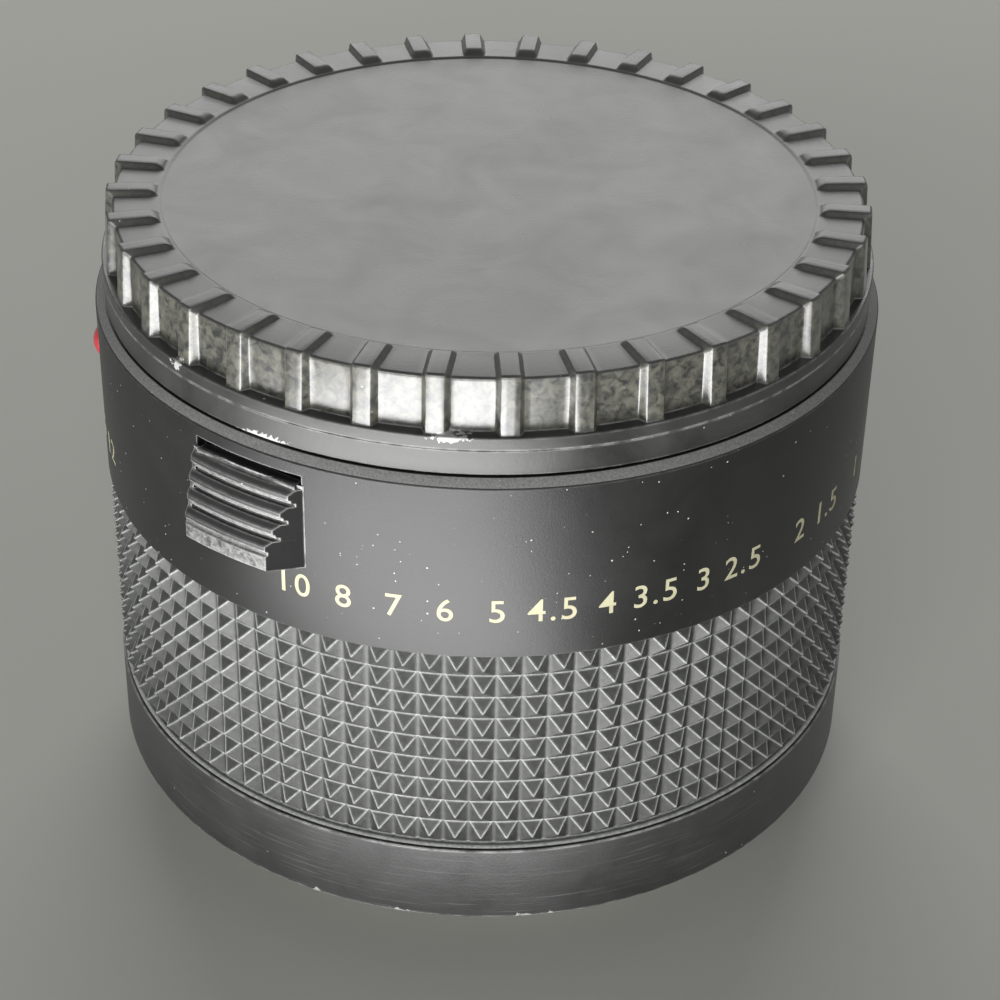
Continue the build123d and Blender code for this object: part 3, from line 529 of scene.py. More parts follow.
    def worn_spot(self) -> bpy.types.NodeTree:
        """Mask one ragged spot round a point.

        Returns:
            The group's node tree.
        """
        graph = new_group(Effect.WORN_SPOT.value, {
            "X": 0.0, "Y": 0.0, "Z": 0.0, "Width": 0.001, "Height": 0.001}, ["Mask"])
        ends = graph.add("NodeGroupInput")
        where = graph.add("TexCoord")
        middle = graph.add("CombineXYZ", {axis: ends.outputs[axis] for axis in "XYZ"})
        away = graph.add("VectorMath", {0: where.outputs["Object"], 1: middle.outputs[0]},
                         operation="SUBTRACT")
        size = graph.add("CombineXYZ", {"X": ends.outputs["Width"], "Y": ends.outputs["Width"],
                                        "Z": ends.outputs["Height"]})
        scaled = graph.add("VectorMath", {0: away.outputs[0], 1: size.outputs[0]},
                           operation="DIVIDE")
        reach = graph.add("VectorMath", {0: scaled.outputs[0]}, operation="LENGTH")
        noise = graph.add("TexNoise", {"Vector": where.outputs["Object"],
                                       "Scale": self.ragged_scale, "Detail": 4.0,
                                       "Roughness": 0.65})
        ragged = graph.math("ADD", reach.outputs["Value"],
                            graph.span(noise.outputs[0], *self.ragged_span))
        graph.add("NodeGroupOutput", {"Mask": graph.span(ragged, 1.0, self.spot_edge)})
        return graph.tree


@dataclass(frozen=True)
class Spot:
    """A ragged worn spot at one place of a surface, in degrees and millimetres."""

    azimuth: float
    radius: float
    height: float
    width: float
    tall: float


def rgba(colour: Colour) -> tuple[float, float, float, float]:
    """Opaque colour for a socket."""
    return (*colour, 1.0)


@dataclass(frozen=True)
class Finish:
    """A surface finish: a body colour with wear, dust, scratches and uneven gloss, and on some
    finishes a painted highlight.
    """

    name: str
    colour: Colour
    second: Colour
    roughness: tuple[float, float]
    metallic: float = 0.0
    specular: float = 0.5
    cloud_scale: float = 60.0
    grain_scale: float = 4000.0
    grain_depth: float = 0.00001
    wear_and_highlight_colour: Colour = (0.5, 0.5, 0.49)
    wear_and_highlight_width: float = 0.0
    wear_and_highlight_gain: float = 6.0
    wear_and_highlight_break: float = 0.6
    wear_and_highlight_scale: float = 900.0
    upper_highlight_only: float = 0.0
    dust_density: float = 0.0
    dust_scale: float = 900.0
    dust_size: float = 0.16
    dust_colour: Colour = (0.55, 0.55, 0.52)
    dust_roughness: float = 0.9
    band: tuple[float, float] = (0.0, 0.0)
    band_colour: Colour = (0.3, 0.3, 0.3)
    band_second: Colour = (0.4, 0.4, 0.4)
    band_tilt: float = 0.75
    band_scale: float = 500.0
    band_contrast: float = 1.6
    scratch_cover: float = 0.0
    scratch_lines: float = 5200.0
    scratch_colour: Colour = (0.3, 0.3, 0.3)
    scratch_roughness: float = 0.12
    coat: float = 0.0
    coat_roughness: float = 0.1
    coat_ior: float = 1.5
    transmission: float = 0.0
    anisotropic: float = 0.0
    spots: tuple[Spot, ...] = ()

    def make(self, effects: Effects) -> bpy.types.Material:
        """Build the material.

        Args:
            effects: the shared shader groups.

        Returns:
            The new material.
        """
        material = bpy.data.materials.new(self.name)
        material.use_nodes = True
        material.node_tree.nodes.clear()
        graph = Graph(material.node_tree)
        clouds = effects.place(graph, Effect.CLOUDS, Scale=self.cloud_scale)
        colour: Socket = graph.mix(clouds, rgba(self.colour), rgba(self.second))
        rough = graph.span(clouds, 0.0, 1.0, *self.roughness)
        coat: float | Socket = self.coat
        # The height band mixes in a second, blotchy colour; on the barrel's bevel and the cap's
        # crown faces this is a painted highlight.
        if self.band[1] > 0:
            band = effects.place(graph, Effect.HEIGHT_BAND, Low=self.band[0], High=self.band[1],
                                 Tilt=self.band_tilt)
            blotches = effects.place(graph, Effect.CLOUDS, Scale=self.band_scale,
                                     Contrast=self.band_contrast)
            banded = graph.mix(blotches, rgba(self.band_colour), rgba(self.band_second))
            colour = graph.mix(band, colour, banded)
            coat = graph.math("MULTIPLY", band, self.coat)
        if self.scratch_cover > 0:
            lines = effects.place(graph, Effect.RING_SCRATCHES, Lines=self.scratch_lines,
                                  Cover=self.scratch_cover)
            colour = graph.mix(lines, colour, rgba(self.scratch_colour))
            rough = graph.math("ADD", rough,
                               graph.math("MULTIPLY", lines, self.scratch_roughness), clamp=True)
        if self.wear_and_highlight_width > 0:
            edges = effects.place(graph, Effect.EDGE_WEAR_AND_HIGHLIGHT, Width=self.wear_and_highlight_width,
                                  Gain=self.wear_and_highlight_gain, Break_Scale=self.wear_and_highlight_scale,
                                  Break_Amount=self.wear_and_highlight_break, Upper_Only=self.upper_highlight_only)
            colour = graph.mix(edges, colour, rgba(self.wear_and_highlight_colour))
        for spot in self.spots:
            middle = at_azimuth(spot.azimuth, spot.radius, spot.height)
            worn = effects.place(graph, Effect.WORN_SPOT, X=middle.x, Y=middle.y, Z=middle.z,
                                 Width=spot.width * MM, Height=spot.tall * MM)
            colour = graph.mix(worn, colour, rgba(self.wear_and_highlight_colour))
        if self.dust_density > 0:
            specks = effects.place(graph, Effect.DUST, Scale=self.dust_scale,
                                   Size=self.dust_size, Density=self.dust_density)
            colour = graph.mix(specks, colour, rgba(self.dust_colour))
            rough = graph.math("MAXIMUM", rough,
                               graph.math("MULTIPLY", specks, self.dust_roughness))
        grain = effects.place(graph, Effect.GRAIN, Scale=self.grain_scale)
        bump = graph.add("Bump", {"Height": grain, "Strength": 1.0, "Distance": self.grain_depth})
        shader = graph.add("BsdfPrincipled", {
            "Base Color": colour, "Roughness": rough, "Metallic": self.metallic,
            "Specular IOR Level": self.specular, "Normal": bump.outputs[0], "Coat Weight": coat,
            "Coat Roughness": self.coat_roughness, "Coat IOR": self.coat_ior,
            "Transmission Weight": self.transmission, "Anisotropic": self.anisotropic})
        graph.add("OutputMaterial", {"Surface": shader.outputs[0]})
        return material


# The height band paints the bevel's strip a speckled light grey: a painted reflection of the light
# on the bevel.
BARREL = Finish("black_anodised_barrel", (0.007, 0.007, 0.007), (0.015, 0.015, 0.015),
                (0.38, 0.44), specular=0.5, cloud_scale=120, grain_scale=7000, grain_depth=0.000015,
                wear_and_highlight_width=0.00018, wear_and_highlight_gain=6.0, wear_and_highlight_colour=(0.35, 0.36, 0.36),
                dust_density=0.14, dust_scale=2500, dust_size=0.17, band=(0.0469, 0.04745),
                band_colour=(0.17, 0.17, 0.167), band_second=(0.28, 0.28, 0.275), band_tilt=1.4,
                band_scale=6000.0)
BASE = Finish("black_anodised_base", (0.02, 0.02, 0.02), (0.04, 0.04, 0.04), (0.42, 0.5),
              specular=0.95, cloud_scale=160, grain_scale=4500, grain_depth=0.00002,
              wear_and_highlight_width=0.00028, wear_and_highlight_gain=9.0, wear_and_highlight_break=0.75, wear_and_highlight_colour=(0.5, 0.5, 0.49),
              dust_density=0.03, dust_scale=1400, dust_size=0.12, scratch_cover=0.35,
              scratch_colour=(0.09, 0.09, 0.09),
              spots=(Spot(-11.3, 32.0, 5.65, 0.8, 0.3), Spot(6.8, 32.0, 5.65, 0.9, 0.3),
                     Spot(10.7, 32.0, 5.65, 0.5, 0.3), Spot(-24.1, 32.0, 5.65, 0.5, 0.35)))
# The height band gives the crown's upright faces a blotchy cream colour and the coat: the colour is
# a painted sheen, the mottled reflection of the light in those faces.
CAP = Finish("moulded_cap_plastic", (0.014, 0.014, 0.013), (0.05, 0.051, 0.047), (0.32, 0.42),
             specular=0.6, coat=1.0, coat_roughness=0.3, coat_ior=1.75, cloud_scale=140,
             grain_scale=3600, grain_depth=0.000012, wear_and_highlight_width=0.00022, wear_and_highlight_gain=5.0,
             wear_and_highlight_break=0.75, wear_and_highlight_colour=(0.5, 0.51, 0.5), dust_density=0.07, dust_scale=1500,
             dust_size=0.13, band=(0.05075, 0.06), band_colour=(0.008, 0.01, 0.011),
             band_second=(0.13, 0.126, 0.1), band_scale=1500.0,
             spots=(Spot(-4.7, 31.25, 50.6, 1.5, 0.35), Spot(-47.5, 31.25, 50.5, 0.7, 0.5),
                    Spot(-31.75, 31.25, 47.7, 2.2, 0.35)))
# The near-white edge mark, kept to ridges and row valleys that face up, is a painted highlight
# where light catches them, with some edge wear.
RUBBER = Finish("moulded_grip_rubber", (0.01, 0.011, 0.01), (0.055, 0.058, 0.052), (0.42, 0.54),
                specular=0.8, coat=0.25, coat_roughness=0.4, cloud_scale=1500,
                grain_scale=9000, grain_depth=0.00006, wear_and_highlight_width=0.00028, wear_and_highlight_gain=6.0,
                wear_and_highlight_break=0.3, wear_and_highlight_scale=2500, upper_highlight_only=1.0, wear_and_highlight_colour=(0.88, 0.9, 0.87),
                dust_density=0.25, dust_scale=6000, dust_size=0.25, dust_colour=(0.16, 0.16, 0.15))
BUTTON = Finish("worn_release_button", (0.008, 0.008, 0.008), (0.025, 0.025, 0.026),
                (0.36, 0.46), specular=0.7, cloud_scale=500, grain_scale=5000,
                wear_and_highlight_width=0.0003, wear_and_highlight_gain=7.0, wear_and_highlight_break=0.45, wear_and_highlight_scale=1800,
                wear_and_highlight_colour=(0.65, 0.65, 0.64), dust_density=0.08, dust_scale=1800, dust_size=0.14,
                band=(0.0378, 0.0391), band_colour=(0.03, 0.03, 0.03),
                band_second=(0.24, 0.24, 0.23), band_scale=2200.0)
# A darker, duller copy of the slide's finish for its right wall: painted shade on the side turned
# away from the light.
SHADED_BUTTON_SIDE = Finish("shaded_button_side", (0.004, 0.004, 0.004), (0.008, 0.008, 0.008),
                     (0.7, 0.85), specular=0.2, cloud_scale=500, wear_and_highlight_width=0.00016, wear_and_highlight_gain=5.0,
                     wear_and_highlight_break=0.6, wear_and_highlight_colour=(0.4, 0.4, 0.39))
PAINT = Finish("filled_numerals", (0.4, 0.38, 0.25), (0.5, 0.48, 0.33), (0.5, 0.6), specular=0.3,
               cloud_scale=900, grain_scale=8000, grain_depth=0.000004)
BEAD = Finish("red_bead", (0.55, 0.02, 0.04), (0.65, 0.04, 0.06), (0.12, 0.2), cloud_scale=400,
              coat=0.6)
CHROME = Finish("turned_chrome", (0.72, 0.72, 0.71), (0.8, 0.8, 0.79), (0.16, 0.26), metallic=1.0,
                cloud_scale=120, scratch_cover=0.5, scratch_lines=9000,
                scratch_colour=(0.5, 0.5, 0.5), wear_and_highlight_width=0.0001, wear_and_highlight_gain=2.0,
                wear_and_highlight_colour=(0.85, 0.85, 0.84), anisotropic=0.4)
STEEL = Finish("screw_steel", (0.5, 0.5, 0.5), (0.6, 0.6, 0.6), (0.2, 0.32), metallic=1.0,
               cloud_scale=600, wear_and_highlight_width=0.0001, wear_and_highlight_gain=2.0, wear_and_highlight_colour=(0.75, 0.75, 0.74))
TUBE = Finish("black_tube", (0.03, 0.03, 0.032), (0.05, 0.05, 0.052), (0.34, 0.46), specular=0.6,
              cloud_scale=120, scratch_cover=0.4, scratch_colour=(0.12, 0.12, 0.12),
              wear_and_highlight_width=0.0001, wear_and_highlight_gain=3.0)
FLAT = Finish("antireflection_black", (0.012, 0.012, 0.012), (0.02, 0.02, 0.02), (0.75, 0.9),
              specular=0.3, cloud_scale=200, grain_scale=5000, grain_depth=0.00002)
GLASS = Finish("coated_glass", (0.94, 0.96, 0.97), (0.9, 0.95, 0.98), (0.0, 0.02), specular=0.5,
               transmission=1.0, grain_depth=0.0, coat=0.3)
BRASS = Finish("machined_brass", (0.62, 0.45, 0.2), (0.7, 0.52, 0.25), (0.26, 0.36), metallic=1.0,
               cloud_scale=150, scratch_cover=0.4, scratch_colour=(0.5, 0.36, 0.16))
SPRING = Finish("rolled_steel", (0.45, 0.45, 0.46), (0.56, 0.56, 0.57), (0.24, 0.36), metallic=1.0,
                cloud_scale=300, scratch_cover=0.3, scratch_colour=(0.35, 0.35, 0.35))

SLOT_FINISH: dict[str, Finish] = {
    "black_anodised": BARREL, "grip_rubber": RUBBER, "cap_plastic": CAP, "mount_chrome": CHROME,
    "screw_steel": STEEL, "button_black": BUTTON, "index_red": BEAD, "satin_tube": TUBE,
    "flat_black": FLAT, "coated_glass": GLASS, "cam_brass": BRASS, "spring_steel": SPRING,
}


class Paintbox:
    """Makes each finish once and hands it out."""

    def __init__(self) -> None:
        """Build the shared effects."""
        self.effects = Effects()
        self.made: dict[str, bpy.types.Material] = {}

    def get(self, finish: Finish) -> bpy.types.Material:
        """Hand out the material of a finish.

        Args:
            finish: which finish.

        Returns:
            Its material, made at the first call.
        """
        if finish.name not in self.made:
            self.made[finish.name] = finish.make(self.effects)
        return self.made[finish.name]

    def dress(self, piece: bpy.types.Object, finish: Finish) -> None:
        """Give an object one finish all over."""
        piece.data.materials.clear()
        piece.data.materials.append(self.get(finish))


@dataclass
class SubAssembly:
    """Pieces that ride on one CAD body."""

    paint: Paintbox
    body: str

    def fit(self, piece: bpy.types.Object, finish: Finish, slot: str, *nodes: str) -> None:
        """Dress a new piece, and tell the frame where it belongs.

        Args:
            piece: the new object.
            finish: its finish.
            slot: the record's material slot; not used.
            nodes: CAD nodes that it stands for.
        """
        self.paint.dress(piece, finish)
        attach(piece, self.body)
        if nodes:
            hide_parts(*nodes)
        log.info("%s rides on %s, %d faces", piece.name, self.body, len(piece.data.polygons))


@dataclass
class FrontCap(SubAssembly):
    """Moulded cap: a glossy skirt, a ribbed crown and a slightly dished disc."""

    skirt_radius: float = 31.25
    skirt_inner: float = 29.9
    skirt_height: float = 3.1
    crown_height: float = 4.78
    face_radius: float = 30.25
    rib_radius: float = 30.97
    face_draft: float = 0.1
    rib_draft: float = 0.3
    rib_step: float = 0.45
    rib_half_base: float = 1.03
    rib_half_face: float = 0.68
    rib_edge: float = 0.05
    rib_flank: tuple[float, ...] = (0.04, 0.14, 0.5, 0.86, 0.96)
    ribs: int = 36
    rib_azimuth: float = 3.3
    columns_between: int = 6
    disc_radius: float = 26.1
    disc_drop: float = 0.14
    cove: float = 0.4
    rib_end: float = 1.3
    end_steps: int = 6
    dish: float = 0.5
    rings: int = 12
    wall: float = 1.5
    corner: float = 0.3
    skirt_corner: float = 0.14
    seam_share: float = 0.66
    seam_depth: float = 0.06
    sharp_angle: float = 42.0
    tube_inner: float = 20.9
    tube_outer: float = 22.1
    lug_radius: float = 23.9
    lug_height: float = 1.6
    lug_half_angle: float = 24.0
    lug_azimuths: tuple[float, ...] = (20.0, 140.0, 260.0)
    lug_columns: int = 24
    lug_root: float = 0.05
    low: float = field(init=False)
    top: float = field(init=False)

    def __post_init__(self) -> None:
        """Take the cap's heights from its CAD node."""
        self.low, self.top = node_range("body_cap")

    def section(self, share: float) -> Profile:
        """Make the cap's closed outline.

        Args:
            share: how much of a rib's height stands there, from 0 beside it to 1 on it.

        Returns:
            Radius and height of each point.
        """
        ledge = self.top - self.crown_height
        skirt_low = ledge - self.skirt_height
        crest = self.top - self.rib_step * (1 - share)
        disc = self.top - self.rib_step - self.disc_drop
        face = self.face_radius + share * (self.rib_radius - self.face_radius)
        lean = self.face_draft + share * (self.rib_draft - self.face_draft)
        seam = skirt_low + self.seam_share * self.skirt_height
        skirt = rounded([
            (self.skirt_inner, skirt_low, 0.0),
            (self.skirt_radius, skirt_low, self.skirt_corner),
            (self.skirt_radius, seam - self.seam_depth, 0.0),
            (self.skirt_radius - self.seam_depth, seam, 0.0),
            (self.skirt_radius, seam + self.seam_depth, 0.0),
            (self.skirt_radius, ledge, self.skirt_corner),
            (face, ledge, 0.0),
            (face - lean, crest, self.corner),
            (self.disc_radius + self.rib_end, crest, 0.0),
        ])
        wide = self.top - self.rib_step
        inner = []
        for step in range(self.end_steps + 1):
            along = step / self.end_steps
            reach = self.rib_end + (self.cove - self.rib_end) * along
            inner.append((self.disc_radius + reach, wide + (crest - wide) * (1 - along * along)))
        for step in range(1, self.end_steps + 1):
            along = step / self.end_steps
            inner.append((self.disc_radius + self.cove * (1 - along),
                          wide + (disc - wide) * smooth(along)))
        plate = []
        for ring in range(1, self.rings + 1):
            radius = self.disc_radius * (1 - ring / self.rings)
            fall = self.dish * (1 - (radius / self.disc_radius) ** 2)
            plate.append((radius, disc - fall))
        under = disc - self.dish - self.wall
        below = [(0.0, under), (self.tube_inner, under), (self.tube_inner, self.low),
                 (self.tube_outer, self.low), (self.tube_outer, under), (self.skirt_inner, under)]
        return skirt[:-1] + inner + plate + below

    def columns(self) -> Profile:
        """List the columns across one rib.

        Returns:
            Distance from the rib's middle and share of its height, for each column.
        """
        base, face, edge = self.rib_half_base, self.rib_half_face, self.rib_edge
        places = (base, base - edge, (base + face) / 2, face + edge, face)
        steps = [(base + edge, 0.0), *zip(places, self.rib_flank), (face - edge, 1.0),
                 (face / 3, 1.0)]
        side = [(-distance, share) for distance, share in steps]
        return side + [(-distance, share) for distance, share in reversed(side)]

    def build(self) -> bpy.types.Object:
        """Make the cap's mesh.

        Returns:
            The dressed cap.
        """
        build = bmesh.new()
        across = self.columns()
        between = self.columns_between
        pitch = 360 / self.ribs
        per_pitch = len(across) + between
        sections = {share: self.section(share) for _, share in across}
        rows = len(sections[0.0])

        def place(column: int, row: int) -> Vector:
            """Place one point of a column's outline.

            Args:
                column: counts round the cap.
                row: counts along the outline.

            Returns:
                The point, in metres.
            """
            index, step = divmod(column, per_pitch)
            centre = self.rib_azimuth + index * pitch
            if step < len(across):
                distance, share = across[step]
                radius, height = sections[share][row]
                turn = math.degrees(math.asin(distance / max(radius, self.disc_radius)))
                return at_azimuth(centre + turn, radius, height)
            radius, height = sections[0.0][row]
            edge = math.degrees(math.asin(across[-1][0] / max(radius, self.disc_radius)))
            along = (step - len(across) + 1) / (between + 1)
            return at_azimuth(centre + edge + along * (pitch - 2 * edge), radius, height)

        grid(build, self.ribs * per_pitch, rows, place)
        for azimuth in self.lug_azimuths:
            self.add_lug(build, azimuth)
        piece = finish_mesh("ribbed_front_cap", build, sharp=self.sharp_angle)
        self.fit(piece, CAP, "cap_plastic", "body_cap")
        return piece

    def add_lug(self, build: bmesh.types.BMesh, azimuth: float) -> None:
        """Add one locking lug to the cap's inner tube.

        Args:
            build: the bmesh that takes the faces.
            azimuth: the lug's middle.
        """
        inner = self.tube_outer - self.lug_root
        upper = self.low + self.lug_height
        outline = [(inner, self.low), (self.lug_radius, self.low), (self.lug_radius, upper),
                   (inner, upper)]

        def place(column: int, row: int) -> Vector:
            """Point of the lug's section."""
            along = column / (self.lug_columns - 1)
            return at_azimuth(azimuth + self.lug_half_angle * (2 * along - 1), *outline[row])

        before = set(build.faces)
        grid(build, self.lug_columns, len(outline), place, round_columns=False)
        made = [face for face in build.faces if face not in before]
        edges = dict.fromkeys(edge for face in made for edge in face.edges)
        rim = [edge for edge in edges if edge.is_boundary]
        bmesh.ops.holes_fill(build, edges=rim, sides=4)


@dataclass
class FrontBarrel(SubAssembly):
    """Smooth front shell with its filled numerals."""

    radius: float = 32.0
    wall: float = 1.6
    bevel: float = 0.67
    seat_radius: float = 29.6
    seat_inner: float = 24.7
    seat_z: float = 43.6
    seat_thickness: float = 1.55
    corner: float = 0.14
    seat_corner: float = 0.05
    segments: int = 432
    window_azimuth: float = -33.5
    window_half_width: float = 4.9
    window_low: float = 39.1
    window_inner: float = 29.0
    window_top: float = 45.85
    pocket_depth: float = 1.3
    window_overlap: float = 0.2
    overrun: float = 1.0
    marks: tuple[tuple[str, float], ...] = (
        ("20", -88.0), ("16", -80.0), ("12", -72.0), ("10", -26.5), ("8", -19.0), ("7", -12.0),
        ("6", -5.0), ("5", 2.0), ("4.5", 9.5), ("4", 17.0), ("3.5", 24.0), ("3", 31.5),
        ("2.5", 38.5), ("2", 50.5), ("1.5", 58.0), ("1", 70.0))
    numeral_height: float = 2.05
    numeral_base: float = 35.1
    numeral_rise: float = 0.012
    numeral_root: float = 0.1
    digit_share: float = 0.72
    stroke_growth: float = 0.012
    digit_spacing: float = 1.15
    curve_steps: int = 6

    def build(self) -> None:
        """Make the shell and its numerals."""
        low, top = node_range("front_shell")
        edge = top - self.bevel
        outline = rounded([
            (self.radius - self.wall, low, 0.0),
            (self.radius, low, self.corner),
            (self.radius, edge, self.corner),
            (self.radius - self.bevel, top, self.corner),
            (self.seat_radius, top, self.seat_corner),
            (self.seat_radius, self.seat_z + self.seat_thickness, 0.0),
            (self.seat_inner, self.seat_z + self.seat_thickness, 0.0),
            (self.seat_inner, self.seat_z, 0.0),
            (self.radius - self.wall, self.seat_z, 0.0),
        ])
        shell = lathe("front_barrel_shell", outline, self.segments)
        for inner, bottom, upper in (
            (self.window_inner, self.window_low, self.seat_z),
            (self.radius - self.pocket_depth, self.seat_z - self.window_overlap, self.window_top),
        ):
            build = bmesh.new()
            radial_block(build, inner, self.radius + self.overrun, self.window_half_width, bottom,
                         upper, self.window_azimuth)
            carve(shell, finish_mesh("window_cutter", build))
        self.fit(shell, BARREL, "black_anodised", "front_shell")
        self.numerals()

    def numerals(self) -> None:
        """Make a plain number scale round the shell."""
        build = bmesh.new()
        for text, azimuth in self.marks:
            self.add_numeral(build, text, azimuth)
        piece = finish_mesh("scale_numerals", build)
        self.fit(piece, PAINT, "black_anodised")

    def add_numeral(self, build: bmesh.types.BMesh, text: str, azimuth: float) -> None:
        """Add one number, wrapped round the shell.

        Args:
            build: the bmesh that takes the faces.
            text: the digits.
            azimuth: the number's middle.
        """
        curve = bpy.data.curves.new("numeral", "FONT")
        curve.body = text
        curve.align_x = "CENTER"
        curve.size = self.numeral_height / self.digit_share
        curve.offset = self.stroke_growth
        curve.extrude = self.numeral_root / 2
        curve.space_character = self.digit_spacing
        curve.resolution_u = self.curve_steps
        maker = bpy.data.objects.new("numeral", curve)
        bpy.context.scene.collection.objects.link(maker)
        bpy.context.view_layer.update()
        seen = maker.evaluated_get(bpy.context.evaluated_depsgraph_get())
        mesh = bpy.data.meshes.new_from_object(seen)
        radius = self.radius + self.numeral_rise
        for vert in mesh.vertices:
            turn = azimuth + math.degrees(vert.co.x / radius)
            reach = radius if vert.co.z > 0 else radius - self.numeral_root
            vert.co = at_azimuth(turn, reach, self.numeral_base + vert.co.y)
        build.from_mesh(mesh)
        bpy.data.objects.remove(maker)
        bpy.data.curves.remove(curve)
        bpy.data.meshes.remove(mesh)


@dataclass
class FocusGrip(SubAssembly):
    """Rubber with aligned square points in rows and columns."""

    radius: float = 32.0
    inner: float = 30.65
    depth: float = 0.9
    land: float = 0.18
    rim: float = 0.72
    columns: int = 98
    rows: int = 9
    valley_share: float = 0.24
    across_stops: tuple[float, ...] = (-1.0, -0.86, -0.68, -0.4, 0.0, 0.4, 0.68, 0.86)
    azimuth: float = 0.3
    sharp_angle: float = 34.0

    def lift(self, across: float) -> float:
        """Work out how high a point stands at a place across its column.

        Args:
            across: the place, from -1 to 1.

        Returns:
            Share of the point's height.
        """
        inside = 1.0 - abs(across)
        bend = self.valley_share
        height = inside * inside / (2 * bend) if inside < bend else inside - bend / 2
        return height / (1 - bend / 2)

    def build(self) -> bpy.types.Object:
        """Make the rubber's mesh, with an edge along every ridge of the points.

        Returns:
            The dressed rubber.
        """
        low, top = node_range("grip_rubber")
        row_height = (top - low - 2 * self.land) / self.rows
        lifts = [self.lift(across) for across in self.across_stops]
        count = len(self.across_stops)
        half = count // 2
        middle = [1 - lifts[index] for index in range(half + 1)]
        ridge_rows = [-share for share in middle] + middle[-2:0:-1]
        valley = self.radius - self.depth
        heights = [(low + self.land + row_height * (index + (share + 1) / 2), share)
                   for index in range(self.rows) for share in ridge_rows]
        heights.append((top - self.land, 1.0))
        levels = [(low, None), (low, -1.0)] + heights + [(top, 1.0), (top, None)]
        rim = self.rim * self.depth

        def place(column: int, row: int) -> Vector:
            """Place one point of the rubber's outside, ends or back.

            Args:
                column: counts round the rubber.
                row: counts up the outside and down the back.

            Returns:
                The point, in metres.
            """
            index, step = divmod(column, count)
            across = self.across_stops[step]
            turn = self.azimuth + 360 / self.columns * (index + across / 2)
            height, along = levels[row]
            if along is None:
                return at_azimuth(turn, self.inner, height)
            if height in (low, top):
                return at_azimuth(turn, valley + rim, height)
            rise = min(lifts[step], 1 - abs(along))
            return at_azimuth(turn, valley + self.depth * max(rise, 0.0), height)

        build = bmesh.new()
        grid(build, self.columns * count, len(levels), place)
        self.crease(build)
        piece = finish_mesh("pointed_grip_rubber", build, sharp=self.sharp_angle)
        self.fit(piece, RUBBER, "grip_rubber", "grip_rubber")
        return piece

    @staticmethod
    def crease(build: bmesh.types.BMesh) -> None:
        """Split every bent quad along the diagonal that stands out.

        Args:
            build: the rubber's bmesh.
        """
        bent = [face for face in build.faces if len(face.verts) == 4]
        for face in bent:
            verts = list(face.verts)
            reach = [math.hypot(vert.co.x, vert.co.y) for vert in verts]
            first, second = reach[0] + reach[2], reach[1] + reach[3]
            if abs(first - second) > WELD:
                pair = (verts[0], verts[2]) if first > second else (verts[1], verts[3])
                bmesh.utils.face_split(face, *pair)


